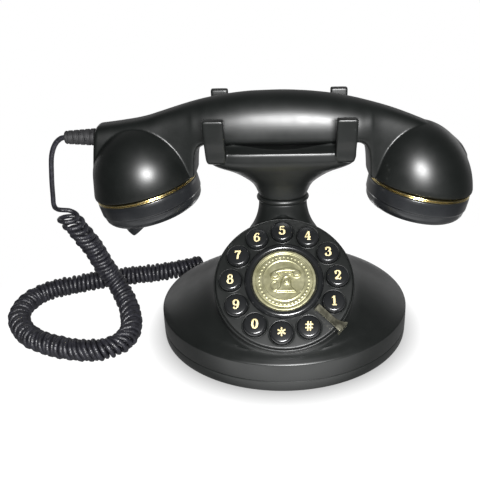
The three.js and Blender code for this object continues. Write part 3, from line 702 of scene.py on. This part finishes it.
for i, (x, y) in enumerate(SCREWS):
    head = [(0, 1.9), (3.2, 1.9), (3.8, 2.4), (3.8, 3.6), (1.5, 3.6), (1.5, 13), (0.4, 14.5), (0, 14.5)]
    screw = build(f"screw_{i + 1}", revolve(soften(head, 0.3, 3), 40),
                  Matrix.Translation((x, y, 0)))
    combine(screw, block(x - 5, x + 5, y - 0.4, y + 0.4, 1, 2.7), "DIFFERENCE")
    shade(screw)
    dress(screw, "phone", "zinc_steel", steel, f"base_screw_{i + 1}")
for i, (x, y) in enumerate(FEET):
    foot = build(f"foot_{i + 1}", revolve(soften([(0, 0), (5.6, 0), (6.3, 0.6), (6.3, 2.6), (0, 2.6)],
                                                 0.3), 48), Matrix.Translation((x, y, STAND_Z)))
    shade(foot)
    dress(foot, "phone", "black_rubber", rubber, f"rubber_foot_{i + 1}")

# ---------------------------------------------------------------- collar and cradle
bead = [(6, 91), (14.7, 91)]
for k in range(13):
    a = math.radians(-78 + 13 * k)
    bead.append((15.1 + 1.75 * math.cos(a), 92.8 + 1.72 * math.sin(a)))
bead += [(14.7, 94.6), (6, 94.6)]
collar = build("neck_bead", revolve(bead, 96, 0.81), Matrix.Translation((0, NECK_Y, 0)))
shade(collar, 40)
dress(collar, "phone", "satin_black", satin, "neck_collar")

HEAD = [(94.9, 15, 12.4, 2.2), (98, 16.4, 12.6, 2.25), (101.5, 17.9, 13.2, 2.35),
        (105, 20.4, 14.2, 2.5), (108.5, 24.2, 15.8, 2.8), (112, 28.6, 17.8, 3.2),
        (115.5, 34.4, 20, 3.7), (118, 39.8, 21.8, 4.2), (120, 43.2, 22.9, 4.6),
        (122, 44.6, 23.7, 5), (124.5, 44.9, 24.2, 5.4), (127.8, 44.9, 24.2, 5.4),
        (129.4, 44.7, 23.8, 5.3), (130.4, 44.4, 21.5, 5), (132, 44.2, 18.2, 4.8),
        (136, 43, 16, 4.4)]
head_a = curve_through([(z, a) for z, a, b, p in HEAD])
head_b = curve_through([(z, b) for z, a, b, p in HEAD])
head_p = curve_through([(z, p) for z, a, b, p in HEAD])
head_levels = steps(94.9, 127.3, 44) + steps(127.8, 132.4, 16) + steps(133, 136, 4)
cradle = build("cradle", loft([superellipse(0, NECK_Y, z, head_a(z), head_b(z), head_p(z), 120)
                               for z in head_levels]))
FRONT = [(121.5, -13, -8, 3.6), (123.5, -18.4, -10, 0.9), (126, -19.5, -12, 0.2),
         (131, -20.6, -15, 0), (138, -22.9, -17.6, 0), (149.7, -24.6, -19.3, 0)]
REAR = [(121.5, 18, 23, 3.6), (123.5, 20, 28.4, 0.9), (126, 22, 29.5, 0.2),
        (131, 24.8, 30.6, 0), (140, 26.4, 32, 0), (155.3, 27.3, 32.5, 0)]


def prong(x, width, levels, top):
    near = curve_through([(z, a) for z, a, b, n in levels])
    far = curve_through([(z, b) for z, a, b, n in levels])
    narrow = curve_through([(z, n) for z, a, b, n in levels])
    rings = []
    for z in steps(levels[0][0], levels[-1][0], 30):
        rings.append(superellipse(x, (near(z) + far(z)) / 2, z,
                                  width / 2 - narrow(z), (far(z) - near(z)) / 2, 7, 40))
    z, y0, y1, n = levels[-1]
    for rise, trim in ((0.45, 0.06), (0.8, 0.25), (1.0, 0.6)):
        rings.append(superellipse(x, (y0 + y1) / 2, z + rise * (top - z),
                                  width / 2 - trim, (y1 - y0) / 2 - trim, 6, 40))
    return loft(rings)


for side in (-1, 1):
    combine(cradle, prong(side * PRONG_X + FRONT_SHIFT, PRONG_W, FRONT, 150.8), "UNION")
    combine(cradle, prong(side * PRONG_X + REAR_SHIFT, REAR_W, REAR, 156.4), "UNION")
DIP_R = 157.0
dip = [(x, 130.7 + DIP_R - math.sqrt(DIP_R**2 - x * x)) for x in steps(-30.9, 30.9, 41)]
dip = [(-30.9, 160)] + dip + [(30.9, 160)]
combine(cradle, loft([[(x, y, z) for x, z in dip] for y in (-40, 50)]), "DIFFERENCE")


def grip_section(x, top, low, waist, deep, power_up, power_down, count):
    """Ring across the grip: high and round above its deepest level, flatter below."""
    ring = []
    for i in range(count):
        t = 2 * math.pi * i / count
        c = math.cos(t)
        s = math.sin(t)
        power = power_up if s > 0 else power_down
        reach = top - waist if s > 0 else waist - low
        ring.append((x, NECK_Y + deep * math.copysign(abs(c) ** (2 / power), c),
                     waist + reach * math.copysign(abs(s) ** (2 / power), s)))
    return ring


combine(cradle, loft([grip_section(x, GRIP_HIGH + 0.8, GRIP_LOW - 0.8, GRIP_WAIST_Z,
                                   GRIP_HALF_D + 0.8, 2.2, 3.2, 96) for x in (-60, 60)]),
        "DIFFERENCE")
combine(cradle, joined(barrel(3.2, 90, 126, 24, 0, NECK_Y),
                       block(-8, 8, NECK_Y - 5, NECK_Y + 5, 124.6, 140)), "DIFFERENCE",
        overlapping=True)
melt(cradle, 0.42, 3)
shade(cradle, 60)
dress(cradle, "phone", "satin_black", satin, "cradle_head")

# ---------------------------------------------------------------- dial
rim_outline = [(40.4, -6), (42.2, -6), (43, -5.2), (43, -2), (42.7, -1.5), (42.1, -1.5),
               (42.1, -3.4), (40.4, -3.4)]
rim = build("dial_edge", revolve(soften(rim_outline, 0.35, 4), 160), dial_frame)
shade(rim, 40)
dress(rim, "phone", "satin_black", satin, "dial_rim")

key_spots = []
for i in range(12):
    a = math.radians(FIRST_BUTTON + BUTTON_STEP * i)
    key_spots.append((BUTTON_PITCH_R * math.cos(a), BUTTON_PITCH_R * math.sin(a)))
face = build("dial_face", revolve(soften([(0, -3.1), (PLATE_R, -3.1), (PLATE_R, 0), (0, 0)],
                                         0.8, 6), 160))
WELL = [(0, -6), (7.2, -6), (7.2, 4), (0, 4)]
LIP = [(6.6, -1.5), (8.15, -1.5), (8.15, -0.1), (8.05, 0.12), (7.9, 0.32), (7.7, 0.42),
       (7.45, 0.36), (7.25, 0.1), (6.6, 0.1)]
for x, y in key_spots:
    combine(face, revolve(LIP, 48), "UNION", Matrix.Translation((x, y, 0)))
combine(face, joined(*[moved(revolve(WELL, 48), Matrix.Translation((x, y, 0)))
                       for x, y in key_spots]), "DIFFERENCE")
face.data.transform(Matrix.Diagonal((1000, 1000, 1000, 1)))
face.data.transform(dial_frame)
face.data.transform(Matrix.Diagonal((MM, MM, MM, 1)))
shade(face, 35)
dress(face, "phone", "satin_black", satin, "dial_plate")


def crown(r):
    """Height of a button's top at a radius."""
    if r < 5.4:
        return 3.4 - 0.35 * (r / 5.4) ** 2
    return 3.05 - 1.2 * ((r - 5.4) / 1.5) ** 1.9


button_outline = [(0, -4.6), (7.6, -4.6), (7.6, -3.5), (BUTTON_R, -3.5), (BUTTON_R, 1.0)]
button_outline += [(r, crown(r)) for r in steps(BUTTON_R, 0.5, 22)] + [(0, 3.4)]
bezel_outline = [(19.6, 0.3), (24.2, 0.3), (24.05, 1.2), (23.7, 2.1), (23.1, 2.8), (22.3, 3.2),
                 (21.5, 3.3), (20.8, 3.2), (20.1, 2.8), (19.6, 2.0)]
bezel = build("dial_hub_ring", revolve(soften(bezel_outline, 0.35, 3), 128), dial_frame)
shade(bezel, 50)
dress(bezel, "phone", "gloss_black", gloss, "dial_bezel")


# Characters are ribbons: upright strokes are broad and level strokes are thin.
def arc(cx, cy, rx, ry, start, end, count=18):
    return [(cx + rx * math.cos(math.radians(a)), cy + ry * math.sin(math.radians(a)))
            for a in steps(start, end, count)]


def dot(cx, cy, rx, ry, thick=0.08):
    return (arc(cx, cy, rx, ry, 0, 360, 12), thick, thick)


def glyph_strokes(key):
    serif = (0.075, 0.075)
    if key == "1":
        return [([(0.03, -0.66), (0.03, 0.66)], 0.14, 0.14),
                ([(-0.27, 0.4), (-0.1, 0.47), (0.02, 0.62)], 0.09, 0.07),
                ([(-0.27, -0.64), (0.33, -0.64)], *serif)]
    if key == "2":
        return [(arc(-0.02, 0.32, 0.33, 0.33, 175, -30) + [(0.08, -0.16), (-0.36, -0.56)], 0.14, 0.07),
                ([(-0.36, -0.58), (0.0, -0.56), (0.36, -0.58)], 0.12, 0.1),
                ([(0.36, -0.58), (0.4, -0.32)], 0.06, 0.06),
                dot(-0.27, 0.27, 0.06, 0.07)]
    if key == "3":
        return [(arc(-0.02, 0.33, 0.3, 0.31, 160, -85), 0.14, 0.06),
                (arc(-0.02, -0.3, 0.36, 0.35, 88, -160), 0.15, 0.06),
                dot(-0.28, 0.36, 0.05, 0.06),
                dot(-0.31, -0.38, 0.05, 0.06)]
    if key == "4":
        return [([(0.14, 0.66), (0.14, -0.66)], 0.13, 0.13),
                ([(0.1, 0.66), (-0.4, -0.26)], 0.06, 0.06),
                ([(-0.42, -0.27), (0.42, -0.27)], 0.075, 0.075),
                ([(-0.1, -0.65), (0.38, -0.65)], *serif)]
    if key == "5":
        return [([(-0.24, 0.58), (0.08, 0.56), (0.34, 0.6)], 0.12, 0.1),
                ([(-0.24, 0.6), (-0.28, 0.0)], 0.06, 0.06),
                ([(-0.28, 0.02)] + arc(-0.01, -0.24, 0.36, 0.4, 125, -165), 0.15, 0.06),
                dot(-0.3, -0.4, 0.05, 0.06)]
    if key == "6":
        return [(arc(0.02, -0.26, 0.33, 0.38, 0, 360, 28), 0.13, 0.06),
                ([(0.3, 0.5), (0.16, 0.64), (-0.04, 0.6), (-0.22, 0.38), (-0.31, 0.05), (-0.31, -0.26)],
                 0.13, 0.06),
                dot(0.26, 0.46, 0.05, 0.05, 0.07)]
    if key == "7":
        return [([(-0.36, 0.56), (-0.05, 0.52), (0.36, 0.58)], 0.13, 0.11),
                ([(-0.36, 0.62), (-0.38, 0.3)], 0.06, 0.06),
                ([(0.36, 0.58), (0.16, 0.26), (0.02, -0.1), (-0.05, -0.66)], 0.14, 0.08)]
    if key == "8":
        return [(arc(0, 0.34, 0.26, 0.31, 0, 360, 28), 0.12, 0.06),
                (arc(0, -0.3, 0.34, 0.36, 0, 360, 28), 0.14, 0.06)]
    if key == "9":
        return [([(-x, -y) for x, y in line], a, b) for line, a, b in glyph_strokes("6")]
    if key == "0":
        return [(arc(0, 0, 0.33, 0.62, 0, 360, 36), 0.15, 0.06)]
    if key == "star":
        return [([(0.6 * math.cos(math.radians(a)), 0.6 * math.sin(math.radians(a))),
                  (-0.6 * math.cos(math.radians(a)), -0.6 * math.sin(math.radians(a)))], 0.1, 0.1)
                for a in (90, 30, 150)]
    return [([(-0.22, -0.66), (-0.12, 0.66)], 0.1, 0.1), ([(0.14, -0.66), (0.24, 0.66)], 0.1, 0.1),
            ([(-0.5, 0.24), (0.56, 0.24)], 0.09, 0.09), ([(-0.54, -0.24), (0.5, -0.24)], 0.09, 0.09)]


def ribbon(line, broad, thin, size, top):
    """A closed raised stroke; top gives the height of the surface under a point."""
    pts = [Vector(p) for p in line]
    rings = []
    round_trip = (pts[0] - pts[-1]).length < 1e-4
    if round_trip:
        pts = pts[:-1]
    n = len(pts)
    if not round_trip and n == 2:
        pts = [pts[0].lerp(pts[1], t) for t in steps(0, 1, 6)]
        n = 6
    for i, p in enumerate(pts):
        if round_trip:
            along = pts[(i + 1) % n] - pts[i - 1]
        else:
            along = pts[min(i + 1, n - 1)] - pts[max(i - 1, 0)]
        along.normalize()
        half = thin + (broad - thin) * abs(along.y) ** 1.3
        across = Vector((-along.y, along.x)) * half
        ring = []
        for s, lift in ((1, -0.25), (1, 0.05), (0.8, 0.09), (-0.8, 0.09), (-1, 0.05), (-1, -0.25)):
            q = (p + across * s) * size
            ring.append((q.x, q.y, top(q.length) + lift))
        rings.append(ring)
    return loft(rings, closed=round_trip)


GLYPH_SIZE = 4.25
for key, (x, y) in zip(KEYS, key_spots):
    spot = dial_frame @ Matrix.Translation((x, y, 0))
    button = build(f"key_{key}", revolve(button_outline, 64), spot)
    shade(button, 40)
    dress(button, f"key_{key}", "gloss_black", gloss, f"button_{key}")
    strokes = [ribbon(line, a, b, GLYPH_SIZE, crown) for line, a, b in glyph_strokes(key)]
    mark = build(f"mark_{key}", joined(*strokes), spot)
    shade(mark, 40)
    dress(mark, f"key_{key}", "polished_brass", print_gold)


# Medallion: a stamped disc. Its relief is a height over the disc, in millimetres.
def soft_edge(distance, width=0.35):
    """1 inside a shape and 0 outside, from the signed distance to its edge."""
    return 1.0 - smoothstep(distance, -width, width)


def stamped(x, y):
    r = math.hypot(x, y)
    h = 1.5
    h += 0.55 * soft_edge(17.5 - r, 0.25)
    h += 0.35 * soft_edge(abs(r - 12.9) - 0.28, 0.22)
    h -= 0.2 * soft_edge(abs(r - 16.9) - 0.18, 0.2)
    a = math.degrees(math.atan2(y, x))
    # plain round beads all along the border
    beside = (a / 9 - round(a / 9)) * math.radians(9) * r
    h += 0.24 * soft_edge(math.hypot(r - 15.1, beside) - 0.5, 0.3)
    # base, waist, cradle, dial and handset of a small telephone
    u = x - 1.0
    body = 0.0
    if -7.7 < y < 5:
        half = waist(y)
        body = 1.0 * soft_edge(abs(u) - half, 0.4) * soft_edge(-7.4 - y, 0.3) * soft_edge(y - 4.6, 0.3)
    ring = math.hypot(u - 0.3, y + 0.5)
    dial = 0.6 * soft_edge(ring - 2.6, 0.35) - 0.5 * soft_edge(abs(ring - 1.55) - 0.22, 0.2)
    curve = 6.4 + 0.06 * u - 0.032 * u * u
    grip = 1.5 * soft_edge(abs(y - curve) - 1.2 + 0.03 * abs(u), 0.5) * soft_edge(abs(u) - 8.4, 0.5)
    cups = 0.0
    for cx, cy in ((-5.6, 3.0), (7.4, 3.7)):
        cups = max(cups, 1.6 * soft_edge(math.hypot((x - cx) / 1.25, y - cy) - 1.9, 0.7))
    loop = 0.5 * soft_edge(abs(math.hypot((x + 5.6) * 1.1, (y + 3.6) * 0.8) - 2.3) - 0.25, 0.25)
    return h + max(body + dial, grip, cups, loop * soft_edge(x + 3.6, 0.4))


waist = curve_through([(-7.7, 5.6), (-6.6, 5.4), (-5.4, 4.2), (-3.8, 3.1), (-0.5, 2.8),
                       (1.6, 1.6), (2.6, 1.9), (3.6, 3.6), (5.0, 4.6)])
rings = []
TURN = 240
rings.append([(0.02 * math.cos(2 * math.pi * i / TURN), 0.02 * math.sin(2 * math.pi * i / TURN),
               stamped(0, 0)) for i in range(TURN)])
for r in steps(0.35, 18.9, 76):
    ring = []
    for i in range(TURN):
        a = 2 * math.pi * i / TURN
        x, y = r * math.cos(a), r * math.sin(a)
        ring.append((x, y, stamped(x, y)))
    rings.append(ring)
for r, z in ((19.1, 1.95), (19.2, 1.7), (19.2, 0.3)):
    rings.append([(r * math.cos(2 * math.pi * i / TURN), r * math.sin(2 * math.pi * i / TURN), z)
                  for i in range(TURN)])
medal = build("medal", loft(rings), dial_frame)
shade(medal, 60)
dress(medal, "phone", "aged_brass", old_brass, "medallion")

# Finger stop: a strip that widens outward, with a folded end.
STOP_ANGLE = math.radians(-43.5)
stop_frame = dial_frame @ Matrix.Rotation(STOP_ANGLE, 4, "Z")


def strip(stations, thick):
    """Closed strip over (radius, low edge, high edge, height of low, height of high)."""
    rings = []
    for r, a, b, za, zb in stations:
        rings.append([(r, a, za - thick), (r, b, zb - thick), (r, b, zb), (r, a, za)])
    return loft(rings)


STOP_EDGES = [(25.9, -1.6, 2.2), (26.6, -1.65, 2.18), (38, -1.8, 1.9), (41, -1.9, 2.4),
              (43.6, -2.0, 3.5), (45.6, -2.1, 5.2)]
stop = build("stop", strip([(r, a, b, 4.6, 4.6) for r, a, b in STOP_EDGES], 0.85), stop_frame)
combine(stop, loft([[(r, a, z) for r, a in ((25.9, -1.6), (26.9, -1.6), (26.9, 2.2), (25.9, 2.2))]
                    for z in (0.3, 4.2)]), "UNION", stop_frame)
combine(stop, loft([[(r, a, z) for r, a in ((44.7, -2.1), (45.6, -2.1), (45.6, 5.2), (44.7, 4.4))]
                    for z in (-4.5, 4.2)]), "UNION", stop_frame)
round_edges(stop, 0.22, 3)
settle(stop)
shade(stop, 50)
dress(stop, "phone", "polished_brass", stop_brass, "finger_stop")

# ---------------------------------------------------------------- handset
grip_top = curve_through([
    (-117.5, 141.6), (-113, 142.2), (-104, 143.1), (-96.8, 143.8), (-89.3, 144.8),
    (-81.9, 146.3), (-74.4, 148.5), (-66.9, 150.8), (-59.5, 153.1), (-52.2, 155.2),
    (-44.9, 156.9), (-30.5, 159.3), (-16, 160.6), (0, GRIP_HIGH), (12.3, 160.4),
    (26.6, 159), (41, 156.5), (55.5, 152.8), (70.2, 148.1), (85.2, 142.3), (92.9, 138.9),
    (100.7, 134.9), (105, 132), (108.8, 128.9), (111.4, 126.3), (113.8, 122.8), (116, 118.8)])
grip_low = curve_through([
    (-56, 99), (-54.3, 104), (-53.6, 113), (-52.8, 120), (-51.4, 125.6), (-49.2, 129),
    (-46, 130.5), (0, 130.5), (46, 130.5), (49.2, 129), (51.4, 125.6), (52.8, 120),
    (53.6, 113), (54.3, 104), (56, 99)])
grip_deep = curve_through([
    (-118, 11), (-100, 11), (-75, 11.2), (-60, 12.4), (-45, 15), (-22, 16.3), (0, 16.5),
    (22, 16.3), (45, 15), (60, 12.4), (75, 11), (90, 10), (100, 8.6), (108, 7), (113, 5.4),
    (116, 4)])


def grip_ring(x, trim):
    top = grip_top(x) - trim
    low = grip_low(x)
    ends = smoothstep(abs(x), 48, 70)
    waist_z = (1 - ends) * GRIP_WAIST_Z + ends * (top + low) / 2
    lean_in = 0.164 * smoothstep(-x, 92, 112)
    ring = grip_section(x, top, low, waist_z, grip_deep(x) - trim, 2.2 + ends, 3.2, 96)
    return [(px + lean_in * (z - 120), y, z) for px, y, z in ring]


def cup_frame(side):
    x, z, tilt = CUPS[side][:3]
    return (Matrix.Translation((x, NECK_Y, z))
            @ Matrix.Rotation(side * math.radians(tilt), 4, "Y"))


def cup_dome(side):
    """Skin stretched over the rim of a cup and the part of its ellipsoid above it."""
    at = cup_frame(side)
    back = at.inverted()
    x, z, radius, half, leaning = CUPS[side][3]
    turn = Matrix.Translation((x, NECK_Y, z)) @ Matrix.Rotation(leaning, 4, "Y")
    bm = bmesh.new()
    for i in range(120):
        a = 2 * math.pi * i / 120
        for r, h in ((CUP_R, -0.2), (CUP_R, 2.2), (CUP_R - 0.1, 2.6)):
            bm.verts.new(at @ Vector((r * math.cos(a), CUP_DEPTH[side] * r * math.sin(a), h)))
        for k in range(40):
            b = math.pi / 2 * k / 40 - 0.3
            point = turn @ Vector((radius * math.cos(b) * math.cos(a),
                                   radius * math.cos(b) * math.sin(a), half * math.sin(b)))
            if (back @ point).z > 3:
                bm.verts.new(point)
    bm.verts.new(turn @ Vector((0, 0, half)))
    made = bmesh.ops.convex_hull(bm, input=bm.verts)
    loose = {v for v in made["geom_interior"] + made["geom_unused"]
             if isinstance(v, bmesh.types.BMVert)}
    bmesh.ops.delete(bm, geom=list(loose), context="VERTS")
    bm.verts.index_update()
    shape = ([tuple(v.co) for v in bm.verts], [tuple(v.index for v in f.verts) for f in bm.faces])
    bm.free()
    return shape


stations = [(-115.7, 1.9), (-115.55, 1.3), (-115.2, 0.7), (-114.6, 0.25), (-113.6, 0)]
stations += [(x, 0) for x in steps(-112, -56, 30) + steps(-55, -46, 24) + steps(-44, 44, 45)
             + steps(46, 55, 24) + steps(57, 115.3, 32)]
handset = build("handset", loft([grip_ring(x, trim) for x, trim in stations]))
for side in (-1, 1):
    combine(handset, barrel(48, -60, 0.5, 64), "DIFFERENCE", cup_frame(side))
    combine(handset, barrel(26, -5, 17, 64), "DIFFERENCE", cup_frame(side))
shells = []
for side in (-1, 1):
    cup = build("cup", cup_dome(side))
    combine(cup, barrel(48, -60, 0.5, 64), "DIFFERENCE", cup_frame(side))
    combine(cup, barrel(26, -5, 17, 64), "DIFFERENCE", cup_frame(side))
    spigot = build("spigot", revolve([(25.9, -9), (28.6, -9), (28.6, 3), (25.9, 3)], 64),
                   cup_frame(side))
    shells += [cup, spigot]
gather(handset, shells)
melt(handset, 0.5, 3)
shade(handset, 60)
dress(handset, "handset", "satin_black", satin, "handset_body")

ring_outline = [(29.2, -1.7), (32.3, -1.7), (32.5, -1.45), (32.45, -1.0), (31.8, -0.8),
                (32.45, -0.6), (32.5, -0.15), (32.3, 0.2), (29.2, 0.2)]
cap_outline = [(32, -2), (32.5, -2.3), (32.7, -4), (32.6, -10.2), (32, -11), (31.9, -12.2),
               (31.5, -14.4), (30.4, -16.2), (28.6, -17.7), (20, -18.9), (0, -17.8), (0, -15.8),
               (25.6, -15.5), (29.1, -11.5), (29.1, -2)]
TIP = math.atan2(-17, -8.7)


def lip(grow, radius):
    ring = []
    for i in range(144):
        a = TIP + 2 * math.pi * i / 144
        away = min(i, 144 - i) * 2 * math.pi / 144
        beak = max(0.0, 1 - (away * away + 0.0016) ** 0.5 / 0.52)
        r = radius + grow * 1.7 * beak
        z = -19.3 - 5.3 * beak if grow else -16.8
        ring.append((-4 + r * math.cos(a), -5 + r * math.sin(a), z))
    return ring


def between(a, b, t):
    return [tuple(p + (q - p) * t for p, q in zip(u, w)) for u, w in zip(a, b)]


for side, name in ((-1, "mouthpiece"), (1, "earpiece")):
    at = cup_frame(side)
    line = build(f"{name}_line", revolve(soften(ring_outline, 0.2, 3), 160), at)
    shade(line, 60)
    dress(line, "handset", "polished_brass", brass, f"{name}_ring")
    cap = build(f"{name}_cover", revolve(soften(cap_outline, 0.5, 4), 160), at)
    holes = [(0, 0)] + [(7.2 * math.cos(math.pi * i / 3), 7.2 * math.sin(math.pi * i / 3))
                        for i in range(6)]
    dx, dy = (-4, -5) if side < 0 else (0, 0)
    if side < 0:
        low_out, high_out, high_in, low_in = lip(0, 18.2), lip(1, 17.4), lip(1, 15.4), lip(0, 15.2)
        wall = [between(low_out, high_out, t) for t in steps(0, 0.97, 12)]
        wall += [between(high_out, high_in, t) for t in (0.15, 0.5, 0.85)]
        wall += [between(high_in, low_in, t) for t in steps(0.03, 1, 10)]
        wall[12] = [(x, y, z - 0.2) for x, y, z in wall[12]]
        wall[13] = [(x, y, z - 0.3) for x, y, z in wall[13]]
        combine(cap, loft(wall, closed=True), "UNION", at)
    combine(cap, joined(*[barrel(1.6, -30, -10, 20, x + dx, y + dy) for x, y in holes]),
            "DIFFERENCE", at)
    shade(cap, 34)
    dress(cap, "handset", "gloss_black", cap_gloss, f"{name}_cap")

# ---------------------------------------------------------------- carried-over CAD nodes
NODE_FINISH = {
    "gloss_black": gloss, "black_rubber": rubber, "zinc_steel": steel, "circuit_board": board,
    "grey_plastic": plastic, "satin_black": satin, "polished_brass": brass,
    "aged_brass": old_brass, "cord_sheath": sheath, "clear_plastic": clear,
}
slot_of = {s["node"]: s["material_slot"] for s in frame["record"]["subparts"]}
for name, node in frame["nodes"].items():
    if node.hide_render:
        continue
    node.data.materials.clear()
    node.data.materials.append(NODE_FINISH[slot_of[name]])
for name in ("ringer_switch", "hook_plunger", "handset_jack", "line_jack"):
    round_edges(frame["nodes"][name], 0.25, 2)

# ---------------------------------------------------------------- floor, light, world
floor_points, floor_faces = revolve([(0, 0), (230, 0), (230, -4), (0, -4)], 96)
floor = build("floor", (floor_points, floor_faces))
paper = finish_material("paper", (0.07, 0.07, 0.07), (0.08, 0.08, 0.08), (0.6, 0.75), grain=400,
                        bump=0.05, specular=0.2)
paper_shader = paper.node_tree.nodes["Principled BSDF"]
paper_shader.inputs["Emission Color"].default_value = (1, 1, 1, 1)
paper_nodes, paper_links = graph_of(paper)
where = paper_nodes.new("ShaderNodeTexCoord")
axes = paper_nodes.new("ShaderNodeSeparateXYZ")
paper_links.new(where.outputs["Object"], axes.inputs["Vector"])
# Painted light: the paper glows, brightest just in front of and behind the telephone, as if it threw
# light back at it. This glow is for light on the object only: the paper itself shows white, with a
# painted soft shadow round the base.
away = {}
for axis in "XY":
    size = paper_nodes.new("ShaderNodeMath")
    size.operation = "ABSOLUTE"
    paper_links.new(axes.outputs[axis], size.inputs[0])
    away[axis] = size.outputs["Value"]
# Painted glow: bands of the paper near the telephone shine on it like light thrown back.
nearby = spread(paper_nodes, paper_links, away["Y"], 0.2, 2.95, (0.07, 0.104))
beyond = spread(paper_nodes, paper_links, away["Y"], 2.95, 0.25, (0.106, 0.132))
painted_bounce_glow = spread(paper_nodes, paper_links, away["X"], 2.95, 0.75, (0.035, 0.1))
for level in (nearby, beyond):
    least = paper_nodes.new("ShaderNodeMath")
    least.operation = "MINIMUM"
    paper_links.new(painted_bounce_glow, least.inputs[0])
    paper_links.new(level, least.inputs[1])
    painted_bounce_glow = least.outputs["Value"]
squash = paper_nodes.new("ShaderNodeMapping")
squash.inputs["Scale"].default_value = (1 / 0.0839, 1 / 0.0746, 0)
paper_links.new(where.outputs["Object"], squash.inputs["Vector"])
reach = paper_nodes.new("ShaderNodeVectorMath")
reach.operation = "LENGTH"
paper_links.new(squash.outputs["Vector"], reach.inputs[0])
# Painted shadow: the white paper darkens towards the edge of the base.
painted_contact_shadow = spread(paper_nodes, paper_links, reach.outputs["Value"], 0.45, 1.0, (0.97, 1.18))
seen = paper_nodes.new("ShaderNodeLightPath")
glow = paper_nodes.new("ShaderNodeMix")
paper_links.new(seen.outputs["Is Camera Ray"], glow.inputs["Factor"])
paper_links.new(painted_bounce_glow, glow.inputs["A"])
paper_links.new(painted_contact_shadow, glow.inputs["B"])
paper_links.new(glow.outputs["Result"], paper_shader.inputs["Emission Strength"])
floor.data.materials.append(paper)


def softbox(name, at, target, width, height, power, colour=(1, 1, 1)):
    light = bpy.data.lights.new(name, "AREA")
    light.shape = "RECTANGLE"
    light.size = width
    light.size_y = height
    light.energy = power
    light.color = colour
    lamp = bpy.data.objects.new(name, light)
    scene.collection.objects.link(lamp)
    lamp.location = at
    lamp.rotation_mode = "QUATERNION"
    lamp.rotation_quaternion = (Vector(target) - Vector(at)).to_track_quat("-Z", "Y")
    return lamp


# A lamp beside the camera, and two dim ones behind for the far side.
softbox("key", (0.046, -0.43, 0.276), (0.005, 0, 0.1), 0.16, 0.085, 6.0)
for x in (-0.6, 0.6):
    softbox("rear fill", (x, 0.62, 0.2), (0, 0, 0.08), 0.4, 0.4, 0.32)

world = bpy.data.worlds.new("studio")
scene.world = world
world.use_nodes = True
nodes, links = graph_of(world)
background = nodes["Background"]
background.inputs["Strength"].default_value = 1.0
sky = nodes.new("ShaderNodeTexCoord")
sky_axes = nodes.new("ShaderNodeSeparateXYZ")
links.new(sky.outputs["Generated"], sky_axes.inputs["Vector"])
dim = spread(nodes, links, sky_axes.outputs["Y"], 0.021, 0.34, (0.1, 0.75))
links.new(dim, background.inputs["Color"])
backdrop = nodes.new("ShaderNodeBackground")
backdrop.inputs["Color"].default_value = (1, 1, 1, 1)
path = nodes.new("ShaderNodeLightPath")
mix = nodes.new("ShaderNodeMixShader")
links.new(path.outputs["Is Camera Ray"], mix.inputs["Fac"])
links.new(background.outputs["Background"], mix.inputs[1])
links.new(backdrop.outputs["Background"], mix.inputs[2])
links.new(mix.outputs["Shader"], nodes["World Output"].inputs["Surface"])
scene.view_settings.view_transform = "Standard"
